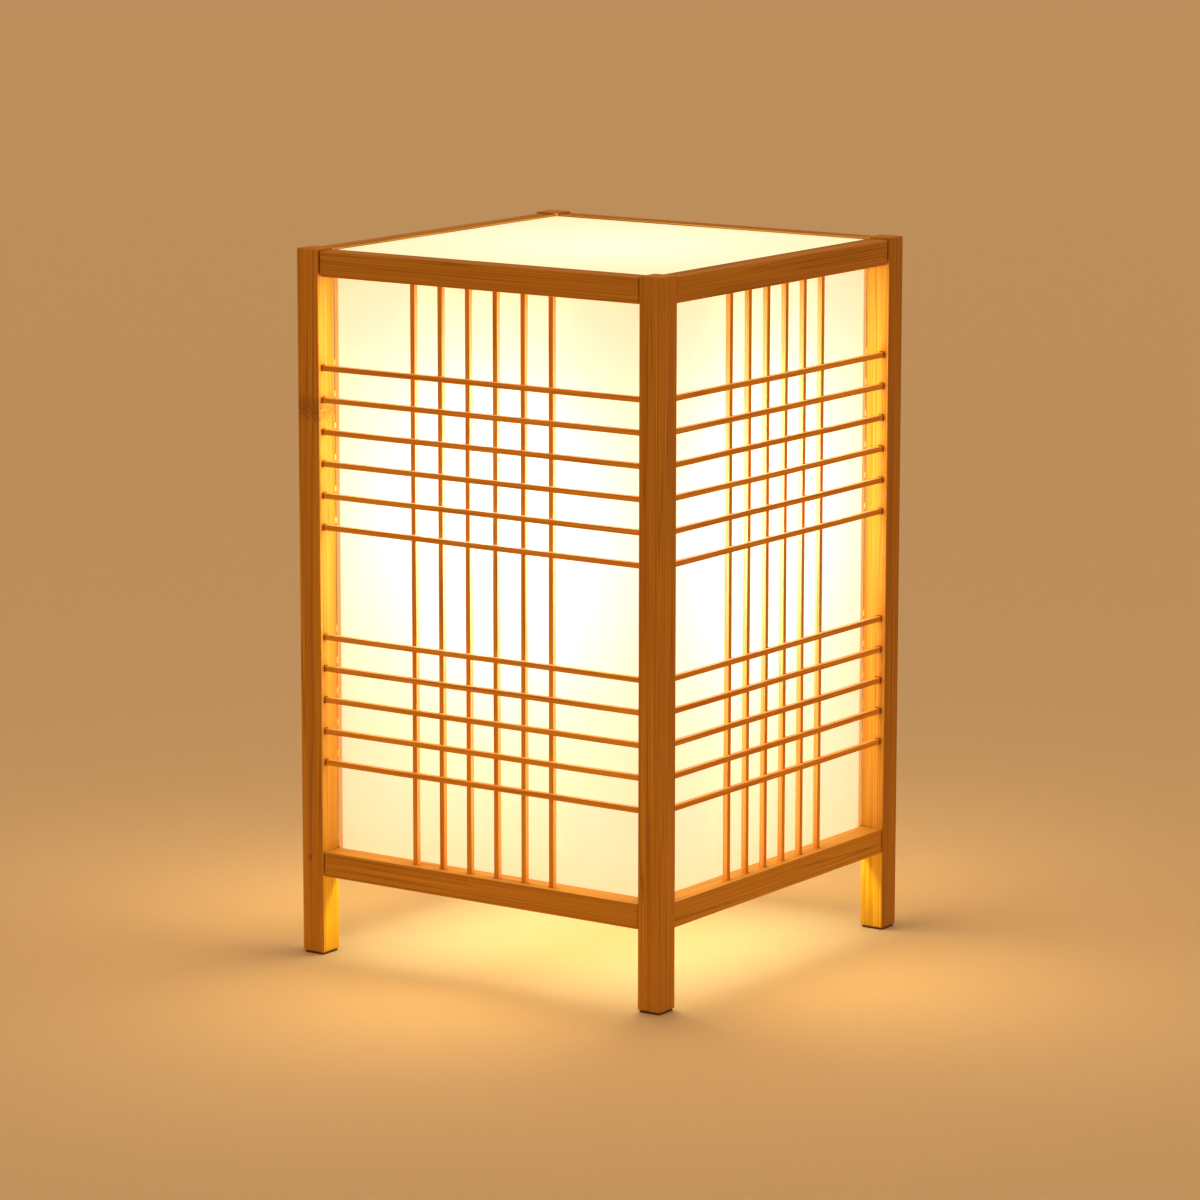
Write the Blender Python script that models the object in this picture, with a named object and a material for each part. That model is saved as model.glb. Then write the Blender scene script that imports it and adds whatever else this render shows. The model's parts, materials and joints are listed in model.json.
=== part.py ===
"""Square bamboo table lamp: tenoned frame, strip lattice, paper panels and a bulb on a crossbar.

Metres, +Z up. The origin is on the floor under the middle of the lamp, and the front faces -Y.
Each face of the lamp is laid out once, as a Side, and then turned about Z to its place.
"""

import math
from dataclasses import dataclass

import bmesh
import bpy
from mathutils import Matrix, Vector

# Play, or glue line, between a piece and what it seats in or on
CLEARANCE = 0.0003

# Frame: posts and pads
WIDTH = 0.200  # over the posts, left to right
DEPTH = 0.200  # over the posts, front to rear
HEIGHT = 0.329  # floor to post tops
POST_SIDE = 0.012  # square section of a post
POST_EASE = 0.0005  # rounding of the post edges
PAD_INSET = 0.0006  # pad edges inside the post faces
PAD_THICKNESS = 0.0008

# Rails, and the stub tenons that hold them in the posts
RAIL_HEIGHT = 0.0116
RAIL_RECESS = 0.0006  # rail face behind the post face
POST_STANDING = 0.0008  # post tops above the top rails
LEG_HEIGHT = 0.0376  # floor to the underside of the bottom rails
TENON_STOP = 0.005  # post left beyond a tenon's end
TENON_WIDTH = 0.005
TENON_SHOULDER = 0.0015  # rail left above an upper tenon, or below a lower one
TENON_WALL = 0.0012  # post left between the tenons of two rails that meet in it

# Lattice strips
STRIP_WIDTH = 0.0021
STRIP_DEPTH = 0.0025
STRIP_SETBACK = 0.0022  # level strips behind the post face
STRIP_HALVING = 0.0003  # how far the upright strips are let into the level ones
STRIP_SEAT = 0.002  # length of a strip's end in its socket
UPRIGHT_COUNT = 6
UPRIGHT_PITCH = 0.0152
LEVEL_PITCH = 0.0147
LEVEL_MARGIN = 0.0420  # nearest level strip's middle from the rail
UPPER_COUNT = 6
LOWER_COUNT = 5

# Paper panels, the battens behind their edges, and the top panel
PAPER_THICKNESS = 0.0005
PAPER_LAP = 0.003  # glued margin on the rails
BATTEN_SIDE = 0.0012  # square section of the batten that joins two panels at a corner
REBATE_WIDTH = 0.0012  # ledge of the top rails under the top panel
REBATE_DEPTH = 0.0030
PANEL_THICKNESS = 0.002

# Crossbar and the threaded rod that stands in it
BAR_WIDTH = 0.022
BAR_HEIGHT = 0.0075
BAR_HOUSING = 0.004  # depth of the housings in the bottom rails
ROD_DIAMETER = 0.010
ROD_WALL = 0.0015  # round the rod's bore, the lead's way in
ROD_TAIL = 0.002  # rod below the lock nut
NUT_WALL = 0.002  # at the middle of a nut's flats
NUT_HEIGHT = 0.004
WASHER_RIM = 0.005
WASHER_THICKNESS = 0.0012
STEM_WALL = 0.0018
STEM_HEIGHT = 0.045

# Screw lamp holder
HOLDER_WALL = 0.0024
HOLDER_ROOM = 0.0026  # between the screw sleeve and the shell
BASE_FLOOR = 0.003
SPANNER_ROOM = 0.003  # round the nut in the base cup
WIRING_ROOM = 0.002  # between that nut and the insert
INSERT_LEDGE = 0.002  # step in the base cup that carries the insert
INSERT_HEIGHT = 0.009
CONTACT_DIAMETER = 0.008
CONTACT_HEIGHT = 0.0015
SLEEVE_WALL = 0.0008
SLEEVE_HEIGHT = 0.022
SHELL_LIP = 0.0016  # thickness of the shell's turned-in rim

# Bulb with a 27 mm screw cap
CAP_DIAMETER = 0.0262
CAP_PLAY = 0.0006  # cap to screw sleeve
CAP_WALL = 0.0008
CAP_HEIGHT = 0.021
INSULATOR_HEIGHT = 0.003
GLOBE_DIAMETER = 0.060
GLOBE_WALL = 0.001
GLOBE_HEIGHT = 0.079  # above the cap's rim
NECK_DEPTH = 0.014  # neck inside the cap
FLARE_START = math.radians(-28)  # where the flare to the neck leaves the ball, from its equator
FLARE_PULL = 0.45  # length of the flare's handles, against its height

# Facets
TURN_STEPS = 32
SMALL_TURN_STEPS = 24
GLOBE_ARC_STEPS = 8
GLOBE_NECK_STEPS = 4
SMOOTH_ANGLE = math.radians(40)
MERGE_DISTANCE = 1e-6

# Heights that several pieces share
BOTTOM_RAIL_TOP = LEG_HEIGHT + RAIL_HEIGHT
TOP_RAIL_TOP = HEIGHT - POST_STANDING
TOP_RAIL_BASE = TOP_RAIL_TOP - RAIL_HEIGHT
PAPER_BASE = BOTTOM_RAIL_TOP - PAPER_LAP
PAPER_TOP = TOP_RAIL_BASE + PAPER_LAP
BAR_TOP = PAPER_BASE - CLEARANCE
BAR_BASE = BAR_TOP - BAR_HEIGHT
STEM_BASE = BAR_TOP + CLEARANCE
HOLDER_BASE = STEM_BASE + STEM_HEIGHT + CLEARANCE
HOLDER_FLOOR = HOLDER_BASE + BASE_FLOOR
HOLDER_NUT_BASE = HOLDER_FLOOR + CLEARANCE
ROD_TOP = HOLDER_NUT_BASE + NUT_HEIGHT
INSERT_BASE = ROD_TOP + WIRING_ROOM
INSERT_TOP = INSERT_BASE + INSERT_HEIGHT
CONTACT_BASE = INSERT_TOP + CLEARANCE
BULB_TIP = CONTACT_BASE + CONTACT_HEIGHT + CLEARANCE

# Radii about the upright axis that several pieces share
ROD_HOLE = ROD_DIAMETER / 2 + CLEARANCE
NUT_FLAT = ROD_HOLE + NUT_WALL
NUT_CORNER = NUT_FLAT * 2 / math.sqrt(3)
SLEEVE_BORE = CAP_DIAMETER / 2 + CAP_PLAY
SLEEVE_RADIUS = SLEEVE_BORE + SLEEVE_WALL

# Depths behind a post's outside face that several pieces share
PAPER_FRONT = POST_SIDE + CLEARANCE
PAPER_BACK = PAPER_FRONT + PAPER_THICKNESS
UPRIGHT_FRONT = STRIP_SETBACK + STRIP_DEPTH - STRIP_HALVING
TENON_FRONT = (RAIL_RECESS + POST_SIDE - TENON_WIDTH) / 2
PANEL_EDGE = POST_SIDE - REBATE_WIDTH + CLEARANCE


@dataclass(frozen=True)
class Finish:
    """Plain Principled values for one of the lamp's materials."""

    name: str
    colour: tuple[float, float, float]
    roughness: float
    metallic: float = 0.0
    alpha: float = 1.0


BAMBOO = Finish("bamboo", (0.37, 0.10, 0.012), 0.45)
BAMBOO_STRIP = Finish("bamboo_strip", (0.40, 0.12, 0.016), 0.5)
PAPER = Finish("parchment_paper", (0.95, 0.86, 0.62), 0.8)
OPAL = Finish("opal_acrylic", (0.97, 0.93, 0.80), 0.35)
FELT = Finish("felt", (0.03, 0.022, 0.016), 0.95)
STEEL = Finish("zinc_plated_steel", (0.62, 0.62, 0.60), 0.3, metallic=1.0)
BRASS = Finish("brass", (0.80, 0.58, 0.27), 0.3, metallic=1.0)
MOULDING = Finish("black_phenolic", (0.02, 0.019, 0.018), 0.4)
PORCELAIN = Finish("porcelain", (0.90, 0.89, 0.85), 0.2)
FROSTED_GLASS = Finish("frosted_glass", (0.98, 0.95, 0.86), 0.5, alpha=0.7)


@dataclass(frozen=True)
class Side:
    """A face of the lamp, seen from outside: x along it, y inwards from the post faces, z up."""

    name: str
    quarter: int  # quarter turns about Z from the front
    span: float  # over the posts
    reach: float  # lamp's middle to the post faces
    corners: tuple[str, str]  # left and right post, seen from outside
    tenon_above: bool  # its tenons lie over those of the neighbouring sides

    @property
    def clear_half(self) -> float:
        """Half the width between the posts."""
        return self.span / 2 - POST_SIDE


SIDES = (
    Side("front", 0, WIDTH, DEPTH / 2, ("front_left", "front_right"), True),
    Side("right", 1, DEPTH, WIDTH / 2, ("front_right", "rear_right"), False),
    Side("rear", 2, WIDTH, DEPTH / 2, ("rear_right", "rear_left"), True),
    Side("left", 3, DEPTH, WIDTH / 2, ("rear_left", "front_left"), False),
)


def clear_scene() -> None:
    """Removes whatever the scene holds."""
    for item in list(bpy.data.objects):
        bpy.data.objects.remove(item, do_unlink=True)


def material(finish: Finish) -> bpy.types.Material:
    """Gives a finish's material, made on first use."""
    found = bpy.data.materials.get(finish.name)
    if found:
        return found
    made = bpy.data.materials.new(finish.name)
    made.use_nodes = True
    shader = made.node_tree.nodes["Principled BSDF"]
    shader.inputs["Base Color"].default_value = (*finish.colour, 1.0)
    shader.inputs["Roughness"].default_value = finish.roughness
    shader.inputs["Metallic"].default_value = finish.metallic
    shader.inputs["Alpha"].default_value = finish.alpha
    return made


def add_empty(name: str, parent=None, location=(0, 0, 0), turn=0.0) -> bpy.types.Object:
    """Adds an empty that carries other objects."""
    empty = bpy.data.objects.new(name, None)
    empty.location = location
    empty.rotation_euler.z = turn
    empty.parent = parent
    bpy.context.collection.objects.link(empty)
    return empty


def add_object(name: str, bm: bmesh.types.BMesh, finish: Finish, parent) -> bpy.types.Object:
    """Makes a named object of a bmesh, with faces pointing out and round parts shaded smooth."""
    bmesh.ops.recalc_face_normals(bm, faces=bm.faces)
    mesh = bpy.data.meshes.new(name)
    bm.to_mesh(mesh)
    bm.free()
    mesh.shade_smooth()
    mesh.set_sharp_from_angle(angle=SMOOTH_ANGLE)
    mesh.materials.append(material(finish))
    made = bpy.data.objects.new(name, mesh)
    made.parent = parent
    bpy.context.collection.objects.link(made)
    return made


def add_cutter(name: str, bm: bmesh.types.BMesh, parent) -> bpy.types.Object:
    """Makes a hidden object that a Boolean uses."""
    tool = add_object(name, bm, BAMBOO, parent)
    tool.hide_render = True
    tool.display_type = "WIRE"
    return tool


def boolean(target: bpy.types.Object, tool: bpy.types.Object, operation: str) -> None:
    """Adds an exact Boolean of target and tool."""
    step = target.modifiers.new(tool.name, "BOOLEAN")
    step.operation = operation
    step.solver = "EXACT"
    step.object = tool


def add_box(bm: bmesh.types.BMesh, low, high) -> None:
    """Adds a closed cuboid between two corners."""
    low, high = Vector(low), Vector(high)
    place = Matrix.Translation((low + high) / 2) @ Matrix.Diagonal((*(high - low), 1.0))
    bmesh.ops.create_cube(bm, size=1.0, matrix=place)


def add_prism(bm: bmesh.types.BMesh, outline, travel) -> None:
    """Adds a closed prism: a flat outline of 3-D points, extruded by a vector."""
    face = bm.faces.new([bm.verts.new(point) for point in outline])
    grown = bmesh.ops.extrude_face_region(bm, geom=[face])["geom"]
    bmesh.ops.translate(bm, vec=travel, verts=[v for v in grown if isinstance(v, bmesh.types.BMVert)])


def add_turned(bm: bmesh.types.BMesh, profile, steps: int, closed: bool = True) -> None:
    """Turns a profile of (radius, height) about Z; an open one runs from pole to pole or is a skin."""
    points = [bm.verts.new((radius, 0.0, height)) for radius, height in profile]
    pairs = list(zip(points, points[1:]))
    if closed:
        pairs.append((points[-1], points[0]))
    edges = [bm.edges.new(pair) for pair in pairs]
    bmesh.ops.spin(bm, geom=points + edges, axis=(0, 0, 1), cent=(0, 0, 0), angle=math.tau, steps=steps)
    bmesh.ops.remove_doubles(bm, verts=bm.verts, dist=MERGE_DISTANCE)


def turned(name: str, profile, finish: Finish, parent, steps=TURN_STEPS, closed=True) -> bpy.types.Object:
    """Makes one turned piece on the lamp's upright axis."""
    bm = bmesh.new()
    add_turned(bm, profile, steps, closed)
    return add_object(name, bm, finish, parent)


def ring(inner: float, outer: float, base: float, top: float):
    """Profile of a plain ring or tube."""
    return [(outer, top), (outer, base), (inner, base), (inner, top)]


def disc(radius: float, base: float, top: float):
    """Open profile of a solid disc, pole to pole."""
    return [(0.0, top), (radius, top), (radius, base), (0.0, base)]


def level_heights() -> list[float]:
    """Middles of the level strips: the upper group hangs from the top rail, the lower stands on the bottom one."""
    upper = [TOP_RAIL_BASE - LEVEL_MARGIN - row * LEVEL_PITCH for row in range(UPPER_COUNT)]
    lower = [BOTTOM_RAIL_TOP + LEVEL_MARGIN + row * LEVEL_PITCH for row in range(LOWER_COUNT)]
    return upper + [height for height in lower if height <= upper[-1] - LEVEL_PITCH]


def upright_places() -> list[float]:
    """Middles of the upright strips along a face, spread evenly about its middle."""
    return [(column - (UPRIGHT_COUNT - 1) / 2) * UPRIGHT_PITCH for column in range(UPRIGHT_COUNT)]


def tenon_heights(rail_base: float, above: bool) -> tuple[float, float]:
    """Lowest and highest point of a rail's tenons: over or under the rail's middle."""
    middle = rail_base + RAIL_HEIGHT / 2
    if above:
        return middle + TENON_WALL / 2, rail_base + RAIL_HEIGHT - TENON_SHOULDER
    return rail_base + TENON_SHOULDER, middle - TENON_WALL / 2


def grown(low, high, play: float = CLEARANCE):
    """A box enlarged all round, as a socket for the piece that the box holds."""
    return [value - play for value in low], [value + play for value in high]


def level_strip_ends(height: float, side: Side):
    """Box of a level strip, from socket to socket."""
    half = side.clear_half + STRIP_SEAT
    low = (-half, STRIP_SETBACK, height - STRIP_WIDTH / 2)
    high = (half, STRIP_SETBACK + STRIP_DEPTH, height + STRIP_WIDTH / 2)
    return low, high


def upright_strip_ends(place: float):
    """Box of an upright strip, from socket to socket."""
    low = (place - STRIP_WIDTH / 2, UPRIGHT_FRONT, BOTTOM_RAIL_TOP - STRIP_SEAT)
    high = (place + STRIP_WIDTH / 2, UPRIGHT_FRONT + STRIP_DEPTH, TOP_RAIL_BASE + STRIP_SEAT)
    return low, high


def tenon_bar(rail_base: float, side: Side):
    """Box of a rail's two tenons and the wood between them."""
    low_z, high_z = tenon_heights(rail_base, side.tenon_above)
    half = side.span / 2 - TENON_STOP
    return (-half, TENON_FRONT, low_z), (half, TENON_FRONT + TENON_WIDTH, high_z)


def joints_of(side: Side):
    """Boxes of everything on a side that ends in its posts."""
    strips = [level_strip_ends(height, side) for height in level_heights()]
    return strips + [tenon_bar(base, side) for base in (LEG_HEIGHT, TOP_RAIL_BASE)]


def build_post(side: Side, before: Side, carrier, carrier_before) -> None:
    """A post at the left end of a side, mortised from that side and the one before; its pad; the batten behind it."""
    name = "post_" + side.corners[0]
    bm = bmesh.new()
    left = -side.span / 2
    add_box(bm, (left, 0.0, PAD_THICKNESS + CLEARANCE), (left + POST_SIDE, POST_SIDE, HEIGHT))
    post = add_object(name, bm, BAMBOO, carrier)
    ease = post.modifiers.new("eased_edges", "BEVEL")
    ease.width = POST_EASE
    ease.segments = 2
    for tool_side, tool_carrier in ((side, carrier), (before, carrier_before)):
        sockets = bmesh.new()
        for low, high in joints_of(tool_side):
            add_box(sockets, *grown(low, high))
        tool = add_cutter(f"{name}_mortises_{tool_side.name}", sockets, tool_carrier)
        boolean(post, tool, "DIFFERENCE")

    pad = bmesh.new()
    far = POST_SIDE - PAD_INSET
    add_box(pad, (left + PAD_INSET, PAD_INSET, 0.0), (left + far, far, PAD_THICKNESS))
    add_object("foot_pad_" + side.corners[0], pad, FELT, carrier)

    batten = bmesh.new()
    near = PAPER_BACK + CLEARANCE
    far = near + BATTEN_SIDE
    add_box(batten, (left + near, near, PAPER_BASE), (left + far, far, PAPER_TOP))
    add_object("paper_batten_" + side.corners[0], batten, BAMBOO_STRIP, carrier)


def build_rail(name: str, side: Side, base: float, carrier, section) -> bpy.types.Object:
    """A rail between two posts: its section, its two stub tenons and the sockets of the upright strips."""
    shoulder = side.clear_half - CLEARANCE
    bm = bmesh.new()
    add_prism(bm, [(-shoulder, depth, height) for depth, height in section], (2 * shoulder, 0, 0))
    rail = add_object(name, bm, BAMBOO, carrier)
    tenons = bmesh.new()
    add_box(tenons, *tenon_bar(base, side))
    boolean(rail, add_cutter(name + "_tenons", tenons, carrier), "UNION")
    sockets = bmesh.new()
    for place in upright_places():
        add_box(sockets, *grown(*upright_strip_ends(place)))
    boolean(rail, add_cutter(name + "_sockets", sockets, carrier), "DIFFERENCE")
    return rail


def build_side(side: Side, carrier) -> None:
    """The rails, lattice and paper of one side."""
    top_section = [
        (RAIL_RECESS, TOP_RAIL_BASE),
        (POST_SIDE, TOP_RAIL_BASE),
        (POST_SIDE, TOP_RAIL_TOP - REBATE_DEPTH),
        (POST_SIDE - REBATE_WIDTH, TOP_RAIL_TOP - REBATE_DEPTH),
        (POST_SIDE - REBATE_WIDTH, TOP_RAIL_TOP),
        (RAIL_RECESS, TOP_RAIL_TOP),
    ]
    bottom_section = [
        (RAIL_RECESS, LEG_HEIGHT),
        (POST_SIDE, LEG_HEIGHT),
        (POST_SIDE, BOTTOM_RAIL_TOP),
        (RAIL_RECESS, BOTTOM_RAIL_TOP),
    ]
    build_rail("top_rail_" + side.name, side, TOP_RAIL_BASE, carrier, top_section)
    bottom = build_rail("bottom_rail_" + side.name, side, LEG_HEIGHT, carrier, bottom_section)
    if side.quarter % 2 == 0:
        housing = bmesh.new()
        half = BAR_WIDTH / 2 + CLEARANCE
        add_box(
            housing,
            (-half, POST_SIDE - BAR_HOUSING - CLEARANCE, min(LEG_HEIGHT, BAR_BASE) - RAIL_HEIGHT),
            (half, POST_SIDE + BAR_HOUSING, BAR_TOP + CLEARANCE),
        )
        boolean(bottom, add_cutter(f"{bottom.name}_housing", housing, carrier), "DIFFERENCE")

    levels = bmesh.new()
    for height in level_heights():
        add_box(levels, *level_strip_ends(height, side))
    lattice = add_object("lattice_" + side.name, levels, BAMBOO_STRIP, carrier)
    uprights = bmesh.new()
    for place in upright_places():
        add_box(uprights, *upright_strip_ends(place))
    boolean(lattice, add_cutter(lattice.name + "_uprights", uprights, carrier), "UNION")

    # The front and rear sheets cover the edges of the left and right ones
    covers = side.quarter % 2 == 0
    half = side.span / 2 - (PAPER_FRONT if covers else PAPER_BACK + CLEARANCE)
    paper = bmesh.new()
    add_box(paper, (-half, PAPER_FRONT, PAPER_BASE), (half, PAPER_BACK, PAPER_TOP))
    add_object("paper_panel_" + side.name, paper, PAPER, carrier)


def build_top_panel(root) -> None:
    """The drop-in top panel: a sheet with its corners notched round the posts."""
    seat = TOP_RAIL_TOP - REBATE_DEPTH + CLEARANCE
    carrier = add_empty("top_panel_seat", root, (0, 0, seat))
    notch = PAPER_FRONT
    quarter = [
        (WIDTH / 2 - notch, DEPTH / 2 - PANEL_EDGE),
        (WIDTH / 2 - notch, DEPTH / 2 - notch),
        (WIDTH / 2 - PANEL_EDGE, DEPTH / 2 - notch),
    ]
    outline = []
    for sign_x, sign_y in ((1, 1), (1, -1), (-1, -1), (-1, 1)):
        corner = quarter if sign_x * sign_y > 0 else quarter[::-1]
        outline += [(sign_x * x, sign_y * y, 0.0) for x, y in corner]
    bm = bmesh.new()
    add_prism(bm, outline, (0, 0, PANEL_THICKNESS))
    add_object("top_panel", bm, OPAL, carrier)


def hexagon(corner: float, height: float):
    """Outline of a hexagon at a height, from the distance of its corners."""
    turns = [step * math.tau / 6 for step in range(6)]
    return [(corner * math.cos(turn), corner * math.sin(turn), height) for turn in turns]


def build_crossbar(root) -> None:
    """The crossbar, the hollow rod that stands in it, and what clamps the rod and carries the holder."""
    washer_base = BAR_BASE - CLEARANCE - WASHER_THICKNESS
    nut_base = washer_base - CLEARANCE - NUT_HEIGHT
    rod_base = nut_base - ROD_TAIL
    bore = bmesh.new()
    add_turned(bore, disc(ROD_HOLE, rod_base - NUT_HEIGHT, ROD_TOP + NUT_HEIGHT), SMALL_TURN_STEPS, False)
    bore_tool = add_cutter("rod_hole", bore, root)

    half_length = DEPTH / 2 - POST_SIDE + BAR_HOUSING
    bm = bmesh.new()
    add_box(bm, (-BAR_WIDTH / 2, -half_length, BAR_BASE), (BAR_WIDTH / 2, half_length, BAR_TOP))
    boolean(add_object("crossbar", bm, BAMBOO, root), bore_tool, "DIFFERENCE")

    rod = ring(ROD_DIAMETER / 2 - ROD_WALL, ROD_DIAMETER / 2, rod_base, ROD_TOP)
    turned("threaded_rod", rod, STEEL, root, SMALL_TURN_STEPS)
    washer = ring(ROD_HOLE, ROD_HOLE + WASHER_RIM, washer_base, washer_base + WASHER_THICKNESS)
    turned("washer", washer, STEEL, root, SMALL_TURN_STEPS)
    stem = ring(ROD_HOLE, ROD_HOLE + STEM_WALL, STEM_BASE, STEM_BASE + STEM_HEIGHT)
    turned("stem_tube", stem, BRASS, root, SMALL_TURN_STEPS)
    for name, base in (("lock_nut", nut_base), ("holder_nut", HOLDER_NUT_BASE)):
        nut = bmesh.new()
        add_prism(nut, hexagon(NUT_CORNER, base), (0, 0, NUT_HEIGHT))
        boolean(add_object(name, nut, STEEL, root), bore_tool, "DIFFERENCE")


def build_holder(root) -> None:
    """The lamp holder: a base cup with a stepped wall, the insert on the step, the sleeve and the shell."""
    inner = SLEEVE_RADIUS + HOLDER_ROOM
    outer = inner + HOLDER_WALL
    step = INSERT_BASE - CLEARANCE
    foot = NUT_CORNER + SPANNER_ROOM
    base_cup = [
        (outer, INSERT_TOP),
        (outer, step),
        (foot + HOLDER_WALL, HOLDER_BASE),
        (ROD_HOLE, HOLDER_BASE),
        (ROD_HOLE, HOLDER_FLOOR),
        (foot, HOLDER_FLOOR),
        (inner - INSERT_LEDGE, step),
        (inner, step),
        (inner, INSERT_TOP),
    ]
    turned("holder_base", base_cup, MOULDING, root)
    turned("holder_insert", disc(inner - CLEARANCE, INSERT_BASE, INSERT_TOP), PORCELAIN, root, closed=False)
    contact = disc(CONTACT_DIAMETER / 2, CONTACT_BASE, CONTACT_BASE + CONTACT_HEIGHT)
    turned("holder_contact", contact, BRASS, root, SMALL_TURN_STEPS, closed=False)
    sleeve_top = CONTACT_BASE + SLEEVE_HEIGHT
    turned("screw_sleeve", ring(SLEEVE_BORE, SLEEVE_RADIUS, CONTACT_BASE, sleeve_top), BRASS, root)
    lip_base = sleeve_top + CLEARANCE
    lip_top = lip_base + SHELL_LIP
    shell = [
        (outer, lip_top),
        (outer, CONTACT_BASE),
        (inner, CONTACT_BASE),
        (inner, lip_base),
        (SLEEVE_BORE, lip_base),
        (SLEEVE_BORE, lip_top),
    ]
    turned("holder_shell", shell, MOULDING, root)


def globe_skin(neck_radius: float, rim: float):
    """Outer profile of the globe, top pole to neck: a ball, a flare that leaves it smoothly, a straight neck."""
    ball = GLOBE_DIAMETER / 2
    middle = rim + GLOBE_HEIGHT - ball
    arc = [(0.0, middle + ball)]
    for step in range(1, GLOBE_ARC_STEPS + 1):
        angle = math.pi / 2 + (FLARE_START - math.pi / 2) * step / GLOBE_ARC_STEPS
        arc.append((ball * math.cos(angle), middle + ball * math.sin(angle)))
    start = Vector(arc[-1])
    end = Vector((neck_radius, rim))
    pull = (start.y - end.y) * FLARE_PULL
    away = Vector((math.sin(FLARE_START), -math.cos(FLARE_START))) * pull
    flare = []
    for step in range(1, GLOBE_NECK_STEPS + 1):
        t = step / GLOBE_NECK_STEPS
        handles = (start, start + away, end + Vector((0.0, pull)), end)
        weights = ((1 - t) ** 3, 3 * t * (1 - t) ** 2, 3 * t * t * (1 - t), t**3)
        point = sum((weight * handle for weight, handle in zip(weights, handles)), Vector((0.0, 0.0)))
        flare.append((point.x, point.y))
    return arc + flare + [(neck_radius, rim - NECK_DEPTH)]


def build_bulb(root) -> None:
    """The bulb, on an empty at its axis: contact, insulator, screw cap and a glass globe open at the neck."""
    carrier = add_empty("bulb_axis", root, (0, 0, BULB_TIP))
    cap = CAP_DIAMETER / 2
    contact_radius = CONTACT_DIAMETER / 2
    turned("bulb_contact", disc(contact_radius, 0.0, CONTACT_HEIGHT), BRASS, carrier, SMALL_TURN_STEPS, False)
    insulator_base = CONTACT_HEIGHT + CLEARANCE
    insulator_top = insulator_base + INSULATOR_HEIGHT
    cap_base = insulator_top + CLEARANCE
    rim = cap_base + CAP_HEIGHT
    insulator = [
        (0.0, insulator_top),
        (cap - 2 * CAP_WALL, insulator_top),
        (contact_radius + CAP_WALL, insulator_base),
        (0.0, insulator_base),
    ]
    turned("bulb_insulator", insulator, MOULDING, carrier, SMALL_TURN_STEPS, closed=False)
    screw_cap = [
        (cap, rim),
        (cap, cap_base + CAP_WALL),
        (cap - CAP_WALL, cap_base),
        (0.0, cap_base),
    ]
    inside = [
        (0.0, cap_base + CAP_WALL),
        (cap - CAP_WALL, cap_base + 2 * CAP_WALL),
        (cap - CAP_WALL, rim),
    ]
    turned("bulb_cap", inside + screw_cap, STEEL, carrier, closed=False)
    bm = bmesh.new()
    add_turned(bm, globe_skin(cap - CAP_WALL - CLEARANCE, rim), TURN_STEPS, closed=False)
    globe = add_object("bulb_globe", bm, FROSTED_GLASS, carrier)
    wall = globe.modifiers.new("glass_wall", "SOLIDIFY")
    wall.thickness = GLOBE_WALL
    wall.offset = -1.0


def main() -> None:
    """Builds the lamp, side by side and then from the crossbar up."""
    clear_scene()
    root = add_empty("lamp")
    carriers = []
    for side in SIDES:
        turn = side.quarter * math.pi / 2
        out = Matrix.Rotation(turn, 3, "Z") @ Vector((0.0, -side.reach, 0.0))
        carriers.append(add_empty("side_" + side.name, root, out, turn))
    for index, side in enumerate(SIDES):
        build_side(side, carriers[index])
        build_post(side, SIDES[index - 1], carriers[index], carriers[index - 1])
    build_top_panel(root)
    build_crossbar(root)
    build_holder(root)
    build_bulb(root)


main()
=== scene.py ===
"""Looks of a lit bamboo table lamp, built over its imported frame.

Units are metres with +Z up, in the frame's own place. Every stick of the lamp is an eased bar in a box of its
own, so most shapes are one section carried along an axis. Round pieces are profiles turned about the lamp's
upright axis.
"""

import json
import logging
import math
from dataclasses import dataclass, field
from enum import Enum
from functools import partial
from typing import Any, Callable, Optional, Sequence

import bmesh
import bpy
import numpy as np
from mathutils import Matrix, Vector

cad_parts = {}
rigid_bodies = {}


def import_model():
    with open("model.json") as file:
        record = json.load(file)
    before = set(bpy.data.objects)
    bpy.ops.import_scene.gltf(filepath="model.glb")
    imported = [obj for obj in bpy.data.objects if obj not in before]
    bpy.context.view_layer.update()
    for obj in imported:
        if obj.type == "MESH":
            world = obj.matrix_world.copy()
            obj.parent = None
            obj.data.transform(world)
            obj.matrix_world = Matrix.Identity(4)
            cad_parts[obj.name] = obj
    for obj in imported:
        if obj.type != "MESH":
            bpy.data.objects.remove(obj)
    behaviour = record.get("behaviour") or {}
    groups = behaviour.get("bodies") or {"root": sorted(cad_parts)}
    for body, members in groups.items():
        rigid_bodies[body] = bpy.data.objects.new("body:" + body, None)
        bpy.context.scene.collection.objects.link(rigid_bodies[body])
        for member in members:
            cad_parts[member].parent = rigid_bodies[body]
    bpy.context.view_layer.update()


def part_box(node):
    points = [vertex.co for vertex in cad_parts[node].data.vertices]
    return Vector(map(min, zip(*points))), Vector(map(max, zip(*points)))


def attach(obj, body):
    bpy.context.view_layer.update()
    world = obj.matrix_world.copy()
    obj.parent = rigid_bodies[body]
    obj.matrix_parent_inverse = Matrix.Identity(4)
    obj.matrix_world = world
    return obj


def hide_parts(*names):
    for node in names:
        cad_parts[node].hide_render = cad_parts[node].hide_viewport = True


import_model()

Array = np.ndarray
Draw = np.random.Generator
LOG = logging.getLogger("bamboo_table_lamp")
SEED = 7  # of grain, tones and stray
MM = 0.001
RIGHT_ANGLE = math.pi / 2
CLEARANCE = 0.3 * MM  # between a stick and the socket that holds it
BEYOND = 1.0 * MM  # that a cut runs past the faces it opens
MERGE_WITHIN = 0.002 * MM  # points closer than this are one
SMOOTH_ANGLE = math.radians(35)
ARC_STEPS = 4  # facets of an eased edge
END_ARC_START = math.radians(15)  # an eased end's arc starts here, which leaves the end flat
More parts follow.
